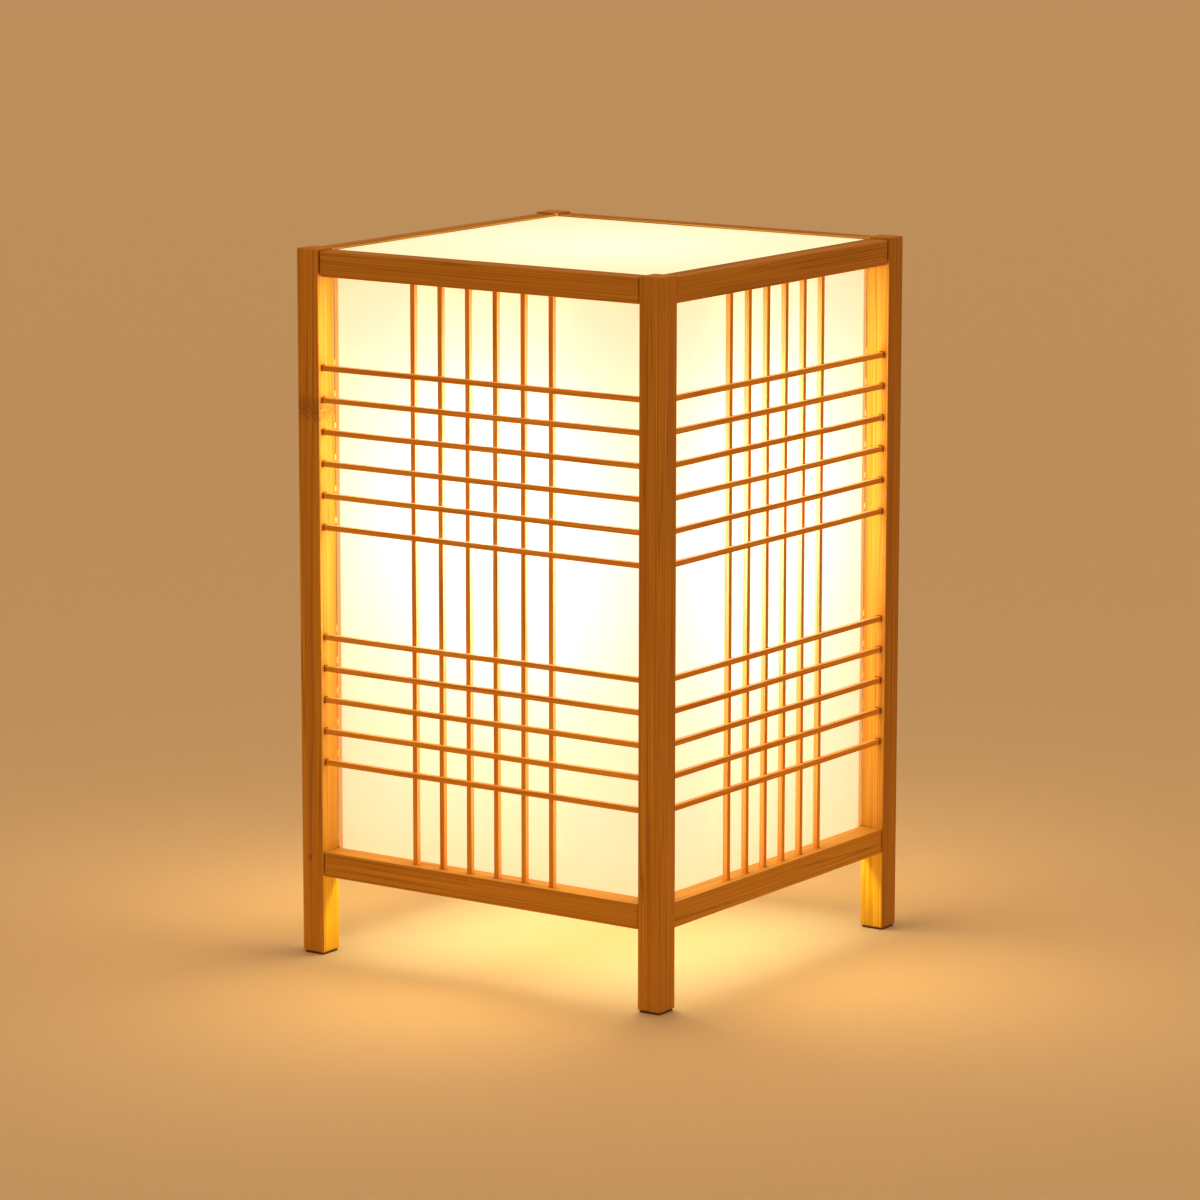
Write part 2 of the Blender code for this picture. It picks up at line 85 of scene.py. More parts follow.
FAR_FROM_NODE = 1.0  # for a stick with no bamboo node in its length
COLOUR_A, COLOUR_B, COLOUR_OUT = 6, 7, 2  # a Mix node's sockets for colours


class Axis(Enum):
    """Directions that a stick can run along."""

    X = 0
    Y = 1
    Z = 2

    @property
    def across(self) -> tuple[int, int]:
        """The two other directions, in cyclic order."""
        return (self.value + 1) % 3, (self.value + 2) % 3


class Body(Enum):
    """Bodies of the frame that pieces ride on."""

    FRAME = "frame"
    BULB = "bulb"
    TOP_PANEL = "top_panel"


class Rail(Enum):
    """The two rails of a side."""

    BOTTOM = "bottom"
    TOP = "top"


def linear(code: str) -> tuple[float, float, float, float]:
    """Turns an sRGB hex colour into linear light.

    Args:
        code: six hex digits after a hash sign.

    Returns:
        Linear red, green and blue, and an alpha of 1.
    """
    values = np.array([int(code[place:place + 2], 16) for place in (1, 3, 5)]) / 255
    curve = np.where(values <= 0.04045, values / 12.92, ((values + 0.055) / 1.055) ** 2.4)
    return (*curve.tolist(), 1.0)


def add_node(
    tree: bpy.types.NodeTree, kind: str, inputs: dict | Sequence = (), output: int | str = 0, **settings: Any
) -> Optional[bpy.types.NodeSocket]:
    """Adds a shader node with its settings, socket values and links.

    Args:
        tree: where the node goes.
        kind: Blender's name for the node, without ShaderNode in front.
        inputs: values, or sockets that feed them, in the node's order or under its names or numbers.
        output: name or number of the output that is wanted.
        **settings: properties of the node itself.

    Returns:
        That output, or nothing for a node without outputs.
    """
    node = tree.nodes.new("ShaderNode" + kind)
    for name, value in settings.items():
        setattr(node, name, value)
    for key, value in inputs.items() if isinstance(inputs, dict) else enumerate(inputs):
        if isinstance(value, bpy.types.NodeSocket):
            tree.links.new(value, node.inputs[key])
        else:
            node.inputs[key].default_value = value
    return node.outputs[output] if node.outputs else None


@dataclass
class Surface:
    """Points and faces of a piece before it becomes a mesh, with what its material reads at each point."""

    points: Array
    faces: list
    marks: dict = field(default_factory=dict)
    poles: bool = False  # whether some points share a place and have to become one

    def mesh_object(self, name: str) -> bpy.types.Object:
        """Makes an object of the surface.

        Args:
            name: the object's name.

        Returns:
            An object at the origin, linked to the scene.
        """
        mesh = bpy.data.meshes.new(name)
        mesh.from_pydata(self.points.tolist(), [], self.faces)
        if self.poles:
            close_poles(mesh)
        write_marks(mesh, self.marks)
        return object_of(mesh, name)


def close_poles(mesh: bpy.types.Mesh) -> None:
    """Joins points that share a place and turns the faces outwards.

    Args:
        mesh: the mesh, which is changed.
    """
    shape = bmesh.new()
    shape.from_mesh(mesh)
    bmesh.ops.remove_doubles(shape, verts=shape.verts, dist=MERGE_WITHIN)
    bmesh.ops.recalc_face_normals(shape, faces=shape.faces)
    shape.to_mesh(mesh)
    shape.free()


def write_marks(mesh: bpy.types.Mesh, marks: dict) -> None:
    """Stores arrays as attributes of a mesh.

    Args:
        mesh: the mesh that gets them.
        marks: arrays of one number or one vector a point, by name.
    """
    for name, values in marks.items():
        kind, key = ("FLOAT_VECTOR", "vector") if values.ndim == 2 else ("FLOAT", "value")
        mesh.attributes.new(name, kind, "POINT").data.foreach_set(key, values.astype(np.float32).ravel())


def object_of(mesh: bpy.types.Mesh, name: str) -> bpy.types.Object:
    """Links a mesh to the scene as an object, shaded smooth up to its sharp edges.

    Args:
        mesh: the mesh, in its place.
        name: the object's name.

    Returns:
        The object, at the origin.
    """
    mesh.shade_smooth()
    mesh.set_sharp_from_angle(angle=SMOOTH_ANGLE)
    made = bpy.data.objects.new(name, mesh)
    bpy.context.scene.collection.objects.link(made)
    return made


def points_of(mesh: bpy.types.Mesh) -> Array:
    """Reads the points of a mesh.

    Args:
        mesh: the mesh.

    Returns:
        A row of three for each point.
    """
    flat = np.empty(len(mesh.vertices) * 3, np.float32)
    mesh.vertices.foreach_get("co", flat)
    return flat.reshape(-1, 3).astype(float)


def joined(surfaces: Sequence[Surface]) -> Surface:
    """Puts several surfaces into one.

    Args:
        surfaces: surfaces with the same kinds of marks.

    Returns:
        One surface, with points, faces and marks in the same order.
    """
    starts = np.cumsum([0] + [len(part.points) for part in surfaces[:-1]]).tolist()
    pairs = zip(surfaces, starts)
    faces = [[index + start for index in face] for part, start in pairs for face in part.faces]
    marks = {name: np.concatenate([part.marks[name] for part in surfaces]) for name in surfaces[0].marks}
    points = np.concatenate([part.points for part in surfaces])
    return Surface(points, faces, marks, any(part.poles for part in surfaces))


def grid_faces(rows: int, columns: int, wrap_rows: bool = False) -> list:
    """Quads of a grid of points that closes on itself along its columns.

    Args:
        rows: rows of points.
        columns: points in a row; the last is joined to the first.
        wrap_rows: whether the last row is joined to the first as well.

    Returns:
        Corner numbers of each quad, with points numbered row by row.
    """
    row, column = np.meshgrid(np.arange(rows if wrap_rows else rows - 1), np.arange(columns), indexing="ij")
    next_row, next_column = (row + 1) % rows, (column + 1) % columns
    corners = [(row, column), (row, next_column), (next_row, next_column), (next_row, column)]
    return np.stack([r * columns + c for r, c in corners], axis=-1).reshape(-1, 4).tolist()


def turned(radii: Array, heights: Array, steps: int, closed: bool) -> Surface:
    """Turns a profile about Z: a point is (r cos a, r sin a, z), with r and z read from the profile's row.

    Args:
        radii: radius of each row, or of each row and step where the piece isn't round.
        heights: height of each row.
        steps: points in a turn.
        closed: whether the profile is a ring's section and not a line from pole to pole.

    Returns:
        The turned surface.
    """
    angle = np.linspace(0, math.tau, steps, endpoint=False)
    rows = len(radii)
    radius, height = (np.broadcast_to(values.reshape(rows, -1), (rows, steps)) for values in (radii, heights))
    points = np.stack([radius * np.cos(angle), radius * np.sin(angle), height], axis=-1)
    return Surface(points.reshape(-1, 3), grid_faces(rows, steps, closed), poles=not closed)


@dataclass(frozen=True)
class Box:
    """A cuboid between two corners."""

    low: Array
    high: Array

    @classmethod
    def of_node(cls, node: str) -> "Box":
        """The box of a node of the frame."""
        low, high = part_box(node)
        return cls(np.array(low), np.array(high))

    @property
    def base(self) -> float:
        """Its underside."""
        return self.low[2]

    @property
    def top(self) -> float:
        """Its upper side."""
        return self.high[2]

    @property
    def radius(self) -> float:
        """Half its width, for a round piece on the lamp's axis."""
        return self.high[0]

    def grown(self) -> "Box":
        """The box with clearance all round, as a socket for what it holds."""
        return Box(self.low - CLEARANCE, self.high + CLEARANCE)

    def surface(self) -> Surface:
        """The cuboid itself, as a cutting tool.

        Returns:
            Its eight corners and six faces.
        """
        across = np.array([[0, 0], [1, 0], [1, 1], [0, 1]])
        share = np.concatenate([np.column_stack([across, np.full(4, level)]) for level in (0, 1)])
        faces = grid_faces(2, 4) + [[3, 2, 1, 0], [4, 5, 6, 7]]
        return Surface(self.low + share * (self.high - self.low), faces)


@dataclass(frozen=True)
class Stick:
    """A straight stick with eased edges and ends that fills a box."""

    box: Box
    axis: Axis
    ease: float  # radius of its edges
    rings: int = 2  # sections between its ends
    sway: float = 0.0  # how far a split strip strays from straight
    tip: float = 0.0  # length at either end that lies in a socket
    socket_shade_length: float = 1.3 * MM  # length outside the socket that gets painted shade, darker towards the socket
    wear: float = 3.0  # width of a rubbed edge, in eases

    def section(self) -> tuple[Array, Array]:
        """A rounded rectangle, as corner points and outward normals.

        Each corner is a quarter circle about a point one radius inside both sides, with a point on the flat
        next to either end of the arc, which keeps the shading of the flat side even.

        Returns:
            Points that the radius is laid off from, and the direction it is laid off in.
        """
        half = (self.box.high - self.box.low)[list(self.axis.across)] / 2
        turn = np.linspace(0, RIGHT_ANGLE, ARC_STEPS + 1)
        angle = (turn[[0, *range(ARC_STEPS + 1), -1]] + np.arange(4)[:, None] * RIGHT_ANGLE).ravel()
        normals = np.column_stack([np.cos(angle), np.sin(angle)])
        signs = np.repeat([[1, 1], [-1, 1], [-1, -1], [1, -1]], ARC_STEPS + 3, axis=0)
        slide = np.zeros(ARC_STEPS + 3)
        slide[[0, -1]] = -self.ease, self.ease
        tangents = np.column_stack([-normals[:, 1], normals[:, 0]])
        return signs * (half - self.ease) + np.tile(slide, 4)[:, None] * tangents, normals

    def surface(self, draw: Optional[Draw] = None) -> Surface:
        """Carries the section along the axis.

        Within one ease of an end the section draws in along a quarter circle. Between the ends a strip may
        stray sideways by sway times sin(pi s) sin(2 pi s + phase), where s runs from 0 to 1.

        Args:
            draw: where the phases come from, for a stick that sways.

        Returns:
            A closed surface without marks.
        """
        first, second = self.axis.across
        along = self.axis.value
        length = self.box.high[along] - self.box.low[along]
        turn = np.linspace(END_ARC_START, RIGHT_ANGLE, ARC_STEPS + 1)
        rise = self.ease * (math.cos(END_ARC_START) - np.cos(turn))
        inset = self.ease * (1 - np.sin(turn))
        middle = np.linspace(2 * self.ease, length - 2 * self.ease, self.rings + 2)
        if self.tip:
            ends = np.array([self.tip, self.tip + self.socket_shade_length])
            middle = np.sort(np.concatenate([middle, ends, length - ends]))
        heights = np.concatenate([rise, middle, length - rise[::-1]])
        insets = np.concatenate([inset, np.zeros(len(middle)), inset[::-1]])
        anchors, normals = self.section()
        rings = anchors + (self.ease - insets)[:, None, None] * normals
        share = heights / length
        phases = draw.uniform(0, math.tau, 2) if draw else np.zeros(2)
        stray = self.sway * np.sin(math.pi * share)[:, None] * np.sin(math.tau * share[:, None] + phases)
        centre = (self.box.low + self.box.high) / 2
        points = np.empty((*rings.shape[:2], 3))
        points[..., [first, second]] = rings + stray[:, None, :] + centre[[first, second]]
        points[..., along] = self.box.low[along] + heights[:, None]
        rows, columns = rings.shape[:2]
        caps = [list(range(columns))[::-1], list(range((rows - 1) * columns, rows * columns))]
        return Surface(points.reshape(-1, 3), grid_faces(rows, columns) + caps)

    def marks(
        self, points: Array, draw: Draw, node_at: float = FAR_FROM_NODE, tone: Optional[float] = None,
        knot: Sequence[float] = (FAR_FROM_NODE,) * 3
    ) -> dict:
        """What the bamboo reads at each point.

        Args:
            points: the finished piece's points.
            draw: where the stick's own grain and tone come from.
            node_at: place of a bamboo node along the axis.
            tone: the stick's tone, where it isn't drawn.
            knot: middle of a small knot.

        Returns:
            grain: place across, across and along the stick, from a start of its own. tone: 0 to 1.
            edge: 1 on an eased edge, 0 past the rubbed width. node: distance along the stick from its node.
            knot: place from the knot, in the same order as grain. tip: painted shade where the stick enters
                its socket, 1 in the socket, 0 past the shaded length.
        """
        order = [*self.axis.across, self.axis.value]
        inside = np.minimum(points - self.box.low, self.box.high - points)[:, order]
        near = 1 - np.clip(inside[:, :2].max(axis=1) / (self.wear * self.ease), 0, 1)
        # painted shade at each socketed end: darkest in the socket, fading out over the shaded length
        tip = 1 - np.clip((inside[:, 2] - self.tip) / self.socket_shade_length, 0, 1) if self.tip else np.zeros(len(points))
        start, drawn = draw.uniform(0, 1, 3), draw.uniform(0, 1)
        return {
            "grain": points[:, order] + start,
            "tone": np.full(len(points), drawn if tone is None else tone),
            "edge": near,
            "node": points[:, self.axis.value] - node_at,
            "knot": (points - np.array(knot))[:, order],
            "tip": tip,
        }

    def marked_surface(self, draw: Draw) -> Surface:
        """The stick as it is, uncut, with its marks.

        Args:
            draw: where its stray, grain and tone come from.

        Returns:
            A closed surface.
        """
        made = self.surface(draw)
        made.marks = self.marks(made.points, draw)
        return made


def carved(blank: Surface, name: str, cut: Sequence[Surface], join: Sequence[Surface] = ()) -> bpy.types.Mesh:
    """Joins surfaces to a blank and cuts others out of it with exact Booleans.

    Args:
        blank: the blank.
        name: the mesh's name.
        cut: what is cut away.
        join: what is added before that.

    Returns:
        The finished mesh.
    """
    used = [blank.mesh_object(name + "_blank")]
    for operation, parts in (("UNION", join), ("DIFFERENCE", cut)):
        if not parts:
            continue
        used.append(joined(parts).mesh_object(f"{name}_{operation.lower()}"))
        step = used[0].modifiers.new(operation.lower(), "BOOLEAN")
        step.operation = operation
        step.solver = "EXACT"
        step.object = used[-1]
    mesh = bpy.data.meshes.new_from_object(used[0].evaluated_get(bpy.context.evaluated_depsgraph_get()))
    mesh.name = name
    for tool in used:
        bpy.data.objects.remove(tool)
    return mesh


@dataclass(frozen=True)
class Finish:
    """A material that is made once: a Principled shader and the pattern that feeds it."""

    name: str
    slot: Optional[str]  # of the record; the floor has none
    roughness: float = 0.5
    ior: float = 1.5
    metallic: float = 0.0
    specular: float = 0.5  # 0.5 leaves the shine to the IOR; a matt lacquer has less

    def material(self) -> bpy.types.Material:
        """Makes the finish's material on first use.

        Returns:
            The material.
        """
        found = bpy.data.materials.get(self.name)
        if found is None:
            found = bpy.data.materials.new(self.name)
            found.use_nodes = True
            found.node_tree.nodes.clear()
            add = partial(add_node, found.node_tree)
            plain = {
                "Roughness": self.roughness, "IOR": self.ior, "Metallic": self.metallic,
                "Specular IOR Level": self.specular,
            }
            add("OutputMaterial", {"Surface": add("BsdfPrincipled", plain | self.pattern(add))})
        return found

    def pattern(self, add: Callable) -> dict:
        """What feeds the shader's sockets; each kind of finish has its own."""
        raise NotImplementedError

    def dress(self, piece: bpy.types.Object) -> None:
        """Gives a piece this finish."""
        piece.data.materials.clear()
        piece.data.materials.append(self.material())


@dataclass(frozen=True)
class Bamboo(Finish):
    """Carbonised bamboo, sawn into lamellae, glued up, planed and lacquered.

    The eye sees long dark fibre lines on a caramel ground, lamellae of slightly different tone and, here and
    there, a node whose fibres cross in small chevrons. The lacquer gives a satin shine, and edges are rubbed
    lighter.
    """

    light: str = "#CA902F"
    dark: str = "#925810"
    line: str = "#663507"
    worn: str = "#DAA046"
    lamella_mm: float = 6.0
    fibre_mm: float = 0.42
    band_mm: float = 2.8
    line_mm: float = 2.6
    run_mm: float = 90.0  # length of a fibre
    band_run: float = 3.0  # length of a band, in fibres
    line_run: float = 2.5
    line_share: float = 0.045  # of the noise's range that a dark line takes up
    line_strength: float = 0.45
    chevron_mm: float = 0.9
    chevron_range: tuple = (0.38, 0.62)  # of the noise, from clear ground to a dark chevron
    chevron_strength: float = 0.8
    node_reach: tuple = (3 * MM, 7.5 * MM)  # where a node's chevrons start to fade and end
    node_shift: float = 4 * MM  # between the nodes of neighbouring lamellae
    node_slope: float = 1.2  # how steeply the chevrons run
    node_bend: float = 5 * MM  # how far the grain bends them
    knot_slant: float = 0.5  # of the arms of a small forked knot
    knot_wide: tuple = (0.1 * MM, 0.8 * MM)  # where its lines start to fade and end
    knot_high: tuple = (0.3 * MM, 2.2 * MM)
    knot_bend: float = 2.0 * MM  # how far the fibres bend it
    knot_strength: float = 0.95
    shade_start: float = -0.75  # the ground is dark at 0 and light at 1
    shade_weights: tuple = (1.8, 0.45, 0.22, 0.25)  # of fibres, bands, lamella and stick
    rub: float = 0.3  # how much of the worn colour an edge shows
    shine: float = 0.08  # how far the roughness varies
    relief: float = 0.12 * MM
    relief_strength: float = 0.35

    def pattern(self, add: Callable) -> dict:
        """Noise drawn out along the grain in three widths, a tone for each lamella, chevrons and a knot.

        Args:
            add: adds a node to the material.

        Returns:
            What feeds the shader, by socket.
        """
        grain, knot = (add("Attribute", output="Vector", attribute_name=name) for name in ("grain", "knot"))
        tone, edge, node, tip = (
            add("Attribute", output="Fac", attribute_name=name) for name in ("tone", "edge", "node", "tip")
        )
        layers = []
        for width, run, detail in (
            (self.fibre_mm, 1.0, 2.0), (self.band_mm, self.band_run, 1.0), (self.line_mm, self.line_run, 0.0)
        ):
            scale = (1 / (width * MM), 1 / (width * MM), 1 / (self.run_mm * run * MM))
            place = add("VectorMath", (grain, scale), operation="MULTIPLY")
            layers.append(add("TexNoise", {"Vector": place, "Scale": 1.0, "Detail": detail}))
        fibres, bands, contour = layers
        contour = add("Math", (contour, 0.5), operation="SUBTRACT")
        contour = add("Math", (contour,), operation="ABSOLUTE")
        fade = {"Value": contour, "From Max": self.line_share, "To Min": self.line_strength, "To Max": 0.0}
        lines = add("MapRange", fade, interpolation_type="SMOOTHSTEP")

        # Each lamella has a tone of its own, and its node lies a little higher or lower than its neighbour's
        cell = 1 / (self.lamella_mm * MM)
        place = add("VectorMath", (grain, (cell, cell, 0.0)), operation="MULTIPLY")
        count = add("VectorMath", (place,), operation="FLOOR")
        lamella = add("TexWhiteNoise", {"Vector": count})
        lamella = add("Math", (lamella, 0.5), operation="SUBTRACT")
        inside = add("VectorMath", (place,), operation="FRACTION")
        inside = add("VectorMath", (inside, (0.5, 0.5, 0.0)), operation="SUBTRACT")
        inside = add("VectorMath", (inside,), operation="ABSOLUTE")
        slope = self.lamella_mm * MM * self.node_slope
        spread = add("VectorMath", (inside, (slope, slope, 0.0)), output="Value", operation="DOT_PRODUCT")
        gap = add("Math", (lamella, self.node_shift, node), operation="MULTIPLY_ADD")
        away = add("Math", (gap,), operation="ABSOLUTE")
        near, far = self.node_reach
        fade = {"Value": away, "From Min": near, "From Max": far, "To Min": 1.0, "To Max": 0.0}
        zone = add("MapRange", fade, interpolation_type="SMOOTHSTEP")
        wave = add("Math", (gap, spread), operation="ADD")
        wave = add("Math", (bands, self.node_bend, wave), operation="MULTIPLY_ADD")
        wave = add("Math", (wave, 1 / (self.chevron_mm * MM)), operation="MULTIPLY")
        wave = add("TexNoise", {"W": wave, "Scale": 1.0, "Detail": 2.0}, noise_dimensions="1D")
        near, far = self.chevron_range
        contrast = {"Value": wave, "From Min": near, "From Max": far, "To Max": self.chevron_strength}
        wave = add("MapRange", contrast)
        chevrons = add("Math", (zone, wave), operation="MULTIPLY")

        # A small knot forks upwards: its line lies at |across| = slant x height above the fork, at 0 below
        across, deep, rise = (add("SeparateXYZ", (knot,), output=axis) for axis in "XYZ")
        across = add("Math", (fibres, self.knot_bend, across), operation="MULTIPLY_ADD")
        across = add("Math", (across, self.knot_bend / 2), operation="SUBTRACT")
        across = add("Math", (across,), operation="ABSOLUTE")
        arm = add("Math", (rise, 0.0), operation="MAXIMUM")
        arm = add("Math", (arm, -self.knot_slant, across), operation="MULTIPLY_ADD")
        arm = add("Math", (arm,), operation="ABSOLUTE")
        rise = add("Math", (rise,), operation="ABSOLUTE")
        stretch = add("Math", (rise, deep), operation="MAXIMUM")
        fade = {"To Min": self.knot_strength, "To Max": 0.0}
        knots = []
        for value, (near, far) in ((arm, self.knot_wide), (stretch, self.knot_high)):
            reach = fade | {"Value": value, "From Min": near, "From Max": far}
            knots.append(add("MapRange", reach, interpolation_type="SMOOTHSTEP"))
        fork = add("Math", knots, operation="MULTIPLY")

        # tip adds painted shade where a strip enters its socket to the grain's real dark lines, chevrons and
        # knot
        darkening = lines
        for spots in (chevrons, fork, tip):
            darkening = add("Math", (darkening, spots), operation="MAXIMUM")
        shade = self.shade_start
        for layer, weight in zip((fibres, bands, lamella, tone), self.shade_weights):
            shade = add("Math", (layer, weight, shade), operation="MULTIPLY_ADD")
        rubbed = add("Math", (edge, self.rub), operation="MULTIPLY")
        colour = linear(self.dark)
        for factor, over in ((shade, self.light), (darkening, self.line), (rubbed, self.worn)):
            mix = {"Factor": factor, COLOUR_A: colour, COLOUR_B: linear(over)}
            colour = add("Mix", mix, output=COLOUR_OUT, data_type="RGBA")
        dull, bright = self.roughness + self.shine, self.roughness - self.shine
        shine = {"Value": fibres, "To Min": bright, "To Max": dull}
        height = add("Math", (fibres, darkening), operation="SUBTRACT")
        bump = {"Strength": self.relief_strength, "Distance": self.relief, "Height": height}
        return {"Base Color": colour, "Roughness": add("MapRange", shine), "Normal": add("Bump", bump)}


@dataclass(frozen=True)
class LitSheet(Finish):
    """A thin sheet with a bulb behind it, such as paper or opal acrylic.

    The eye sees a glow that is white where the sheet faces the bulb and cream towards its edges, with a faint
    cloud of fibres or filler in it. The glow falls with the cube of reach / distance, as light from a bulb
    does on a plane.
    """

    colour: str = "#F6EBCB"
    dim: tuple = (0.60, 0.402, 0.197)  # light given off far from the bulb
    gain: tuple = (0.60, 0.80, 1.24)  # light added where the sheet is nearest
    most: tuple = (0.44, 0.68, 0.93)  # light that a picture shows white, with the room's light on the sheet
    reach: float = 87.5 * MM  # shortest way from the bulb to the sheet
    fall: float = 3.0  # power of reach / distance
    cloud_mm: float = 5.0
    fibre_mm: float = 0.8
    fibre_run_mm: float = 14.0
    mottle: tuple = (0.7, 1.4)  # range of the noises of cloud and fibres together
    depth: float = 0.02  # contrast of cloud and fibres
    margin: float = 1.0  # how far from the middle a batten starts to shut the light off
    soft_edge: float = 0.4 * MM  # of the batten's shade
    shut: tuple = (0.28, 0.10, 0.04)  # light given off over a batten
    relief: float = 0.05 * MM
    relief_strength: float = 0.2

    def pattern(self, add: Callable) -> dict:
        """The glow by distance from the bulb, with clouds and with fibres in two directions.

        Args:
            add: adds a node to the material.

        Returns:
            What feeds the shader, by socket.
        """
        place = add("TexCoord", output="Object")
        thin, long = self.fibre_mm, self.fibre_run_mm
        layers = []
        for size in ((self.cloud_mm,) * 3, (long, long, thin), (thin, thin, long)):
            scale = tuple(1 / (length * MM) for length in size)
            vector = add("VectorMath", (place, scale), operation="MULTIPLY")
            layers.append(add("TexNoise", {"Vector": vector, "Scale": 1.0, "Detail": 2.0}))
        fibres = add("Math", layers[1:], operation="MAXIMUM")
        mottle = add("Math", (layers[0], fibres), operation="ADD")
        least, most = self.mottle
        cloud = {"From Min": least, "From Max": most, "To Min": -self.depth, "To Max": self.depth}
        cloud = add("MapRange", cloud | {"Value": mottle})

        distance = add("VectorMath", (place, Layout.GLOW_MIDDLE), output="Value", operation="DISTANCE")
        share = add("Math", (self.reach, distance), operation="DIVIDE")
        share = add("Math", (share, self.fall), operation="POWER")
        share = add("Math", (share, cloud), operation="ADD")
        bright = tuple(low + more for low, more in zip(self.dim, self.gain))
        mix = {"Factor": share, COLOUR_A: (*self.dim, 1.0), COLOUR_B: (*bright, 1.0)}
        glow = add("Mix", mix, output=COLOUR_OUT, data_type="RGBA", clamp_factor=False)
        spread = add("VectorMath", (place,), operation="ABSOLUTE")
        sides = [add("SeparateXYZ", (spread,), output=axis) for axis in "XY"]
        out = add("Math", sides, operation="MINIMUM")
        edge = {"Value": out, "From Min": self.margin, "From Max": self.margin + self.soft_edge}
        covered = add("MapRange", edge, interpolation_type="SMOOTHSTEP")
        mix = {"Factor": covered, COLOUR_A: glow, COLOUR_B: (*self.shut, 1.0)}
        glow = add("Mix", mix, output=COLOUR_OUT, data_type="RGBA")
        tint = add("Math", (cloud, 1 - self.depth), operation="ADD")
        scaled = {0: linear(self.colour)[:3], "Scale": tint}
        bump = {"Strength": self.relief_strength, "Distance": self.relief, "Height": mottle}
        return {
            "Base Color": add("VectorMath", scaled, operation="SCALE"),
            "Emission Color": add("VectorMath", (glow, self.most), operation="MINIMUM"),
            "Emission Strength": 1.0,
            "Normal": add("Bump", bump),
        }


@dataclass(frozen=True)
class Speckled(Finish):
    """A finish of two close tones in a fine grain: felt, phenolic, porcelain, glass, metal or plaster.

    The eye sees an even colour that breaks up on a near look, with a shine that varies over the same grain.
    """

    light: str = "#808080"
    dark: str = "#707070"
    grain_mm: tuple = (1.0, 1.0, 1.0)  # size of the grain along each axis
    detail: float = 4.0  # finer octaves of the grain
    shine: float = 0.08  # how far the roughness varies
    relief: float = 0.1 * MM
    relief_strength: float = 0.1
    glow: float = 0.0  # light given off

    def pattern(self, add: Callable) -> dict:
        """One noise, stretched along the axes, for colour, shine and relief.

        Args:
            add: adds a node to the material.

        Returns:
            What feeds the shader, by socket.
        """
        place = add("TexCoord", output="Object")
        scale = tuple(1 / (size * MM) for size in self.grain_mm)
        vector = add("VectorMath", (place, scale), operation="MULTIPLY")
        noise = add("TexNoise", {"Vector": vector, "Scale": 1.0, "Detail": self.detail})
        mix = {"Factor": noise, COLOUR_A: linear(self.dark), COLOUR_B: linear(self.light)}
        colour = add("Mix", mix, output=COLOUR_OUT, data_type="RGBA")
        roughest = min(self.roughness + self.shine, 1.0)
        shine = {"Value": noise, "To Min": self.roughness - self.shine, "To Max": roughest}
        bump = {"Strength": self.relief_strength, "Distance": self.relief, "Height": noise}
        sockets = {"Base Color": colour, "Roughness": add("MapRange", shine), "Normal": add("Bump", bump)}
        return sockets | {"Emission Color": colour, "Emission Strength": self.glow} if self.glow else sockets


BAMBOO = Bamboo("laminated_bamboo", "bamboo", roughness=0.6, ior=1.53, specular=0.12)
STRIP = Bamboo(
    "split_bamboo_strip", "bamboo_strip", roughness=0.65, ior=1.53, specular=0.1, light="#E6A238",
    dark="#C47A1E", line="#8A4C10", lamella_mm=20.0, fibre_mm=0.7, line_mm=1.4, run_mm=50.0
)
PAPER = LitSheet("parchment_paper", "paper", roughness=0.85, specular=0.2, margin=85.7 * MM)
OPAL = LitSheet(
    "cast_opal_acrylic", "opal_acrylic", roughness=0.4, ior=1.49, reach=121 * MM, dim=(0.45, 0.39, 0.242),
    gain=(0.2, 0.25, 0.36), most=(0.32, 0.6, 0.62)
)
FELT = Speckled(
    "pressed_felt", "felt", roughness=0.95, light="#A87C4A", dark="#866038", grain_mm=(0.4, 0.4, 0.4),
    relief_strength=0.8
)
ZINC = Speckled(
    "zinc_plated_steel", "zinc_steel", roughness=0.28, metallic=1.0, light="#D4D3CE", dark="#B4B5B6",
    grain_mm=(2.0, 2.0, 0.3)
)
BRASS = Speckled(
    "drawn_brass", "brass", roughness=0.25, metallic=1.0, light="#E0B763", dark="#C29544",
    grain_mm=(0.5, 0.5, 9.0)
)
PHENOLIC = Speckled(
    "moulded_phenolic", "black_phenolic", roughness=0.35, ior=1.6, light="#2A2522", dark="#171412",
    grain_mm=(3.0, 3.0, 3.0)
)
PORCELAIN = Speckled(
    "glazed_porcelain", "porcelain", roughness=0.12, light="#F3EFE6", dark="#E7E1D4",
    grain_mm=(1.5, 1.5, 1.5), shine=0.03
)
GLASS = Speckled(
    "etched_bulb_glass", "frosted_glass", roughness=0.5, light="#FFF6DC", dark="#FFEFC4",
    grain_mm=(0.6, 0.6, 0.6), relief_strength=0.05, glow=3.0
)
FLOOR = Speckled(
    "matt_plaster", None, roughness=0.9, light="#C8BBAA", dark="#C0B3A0", grain_mm=(1.6, 1.6, 1.6),
    shine=0.05, relief_strength=0.15
)


def seat(piece: bpy.types.Object, finish: Finish, *nodes: str, body: Body = Body.FRAME) -> None:
    """Dresses a piece, puts it on its body and in the place of frame nodes, and reports it.

    Args:
        piece: the piece.
        finish: its finish.
        *nodes: frame nodes that it stands for.
        body: the body that it rides on.
    """
    finish.dress(piece)
    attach(piece, body.value)
    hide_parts(*nodes)
    LOG.info("%s: %d faces on %s", piece.name, len(piece.data.polygons), body.value)


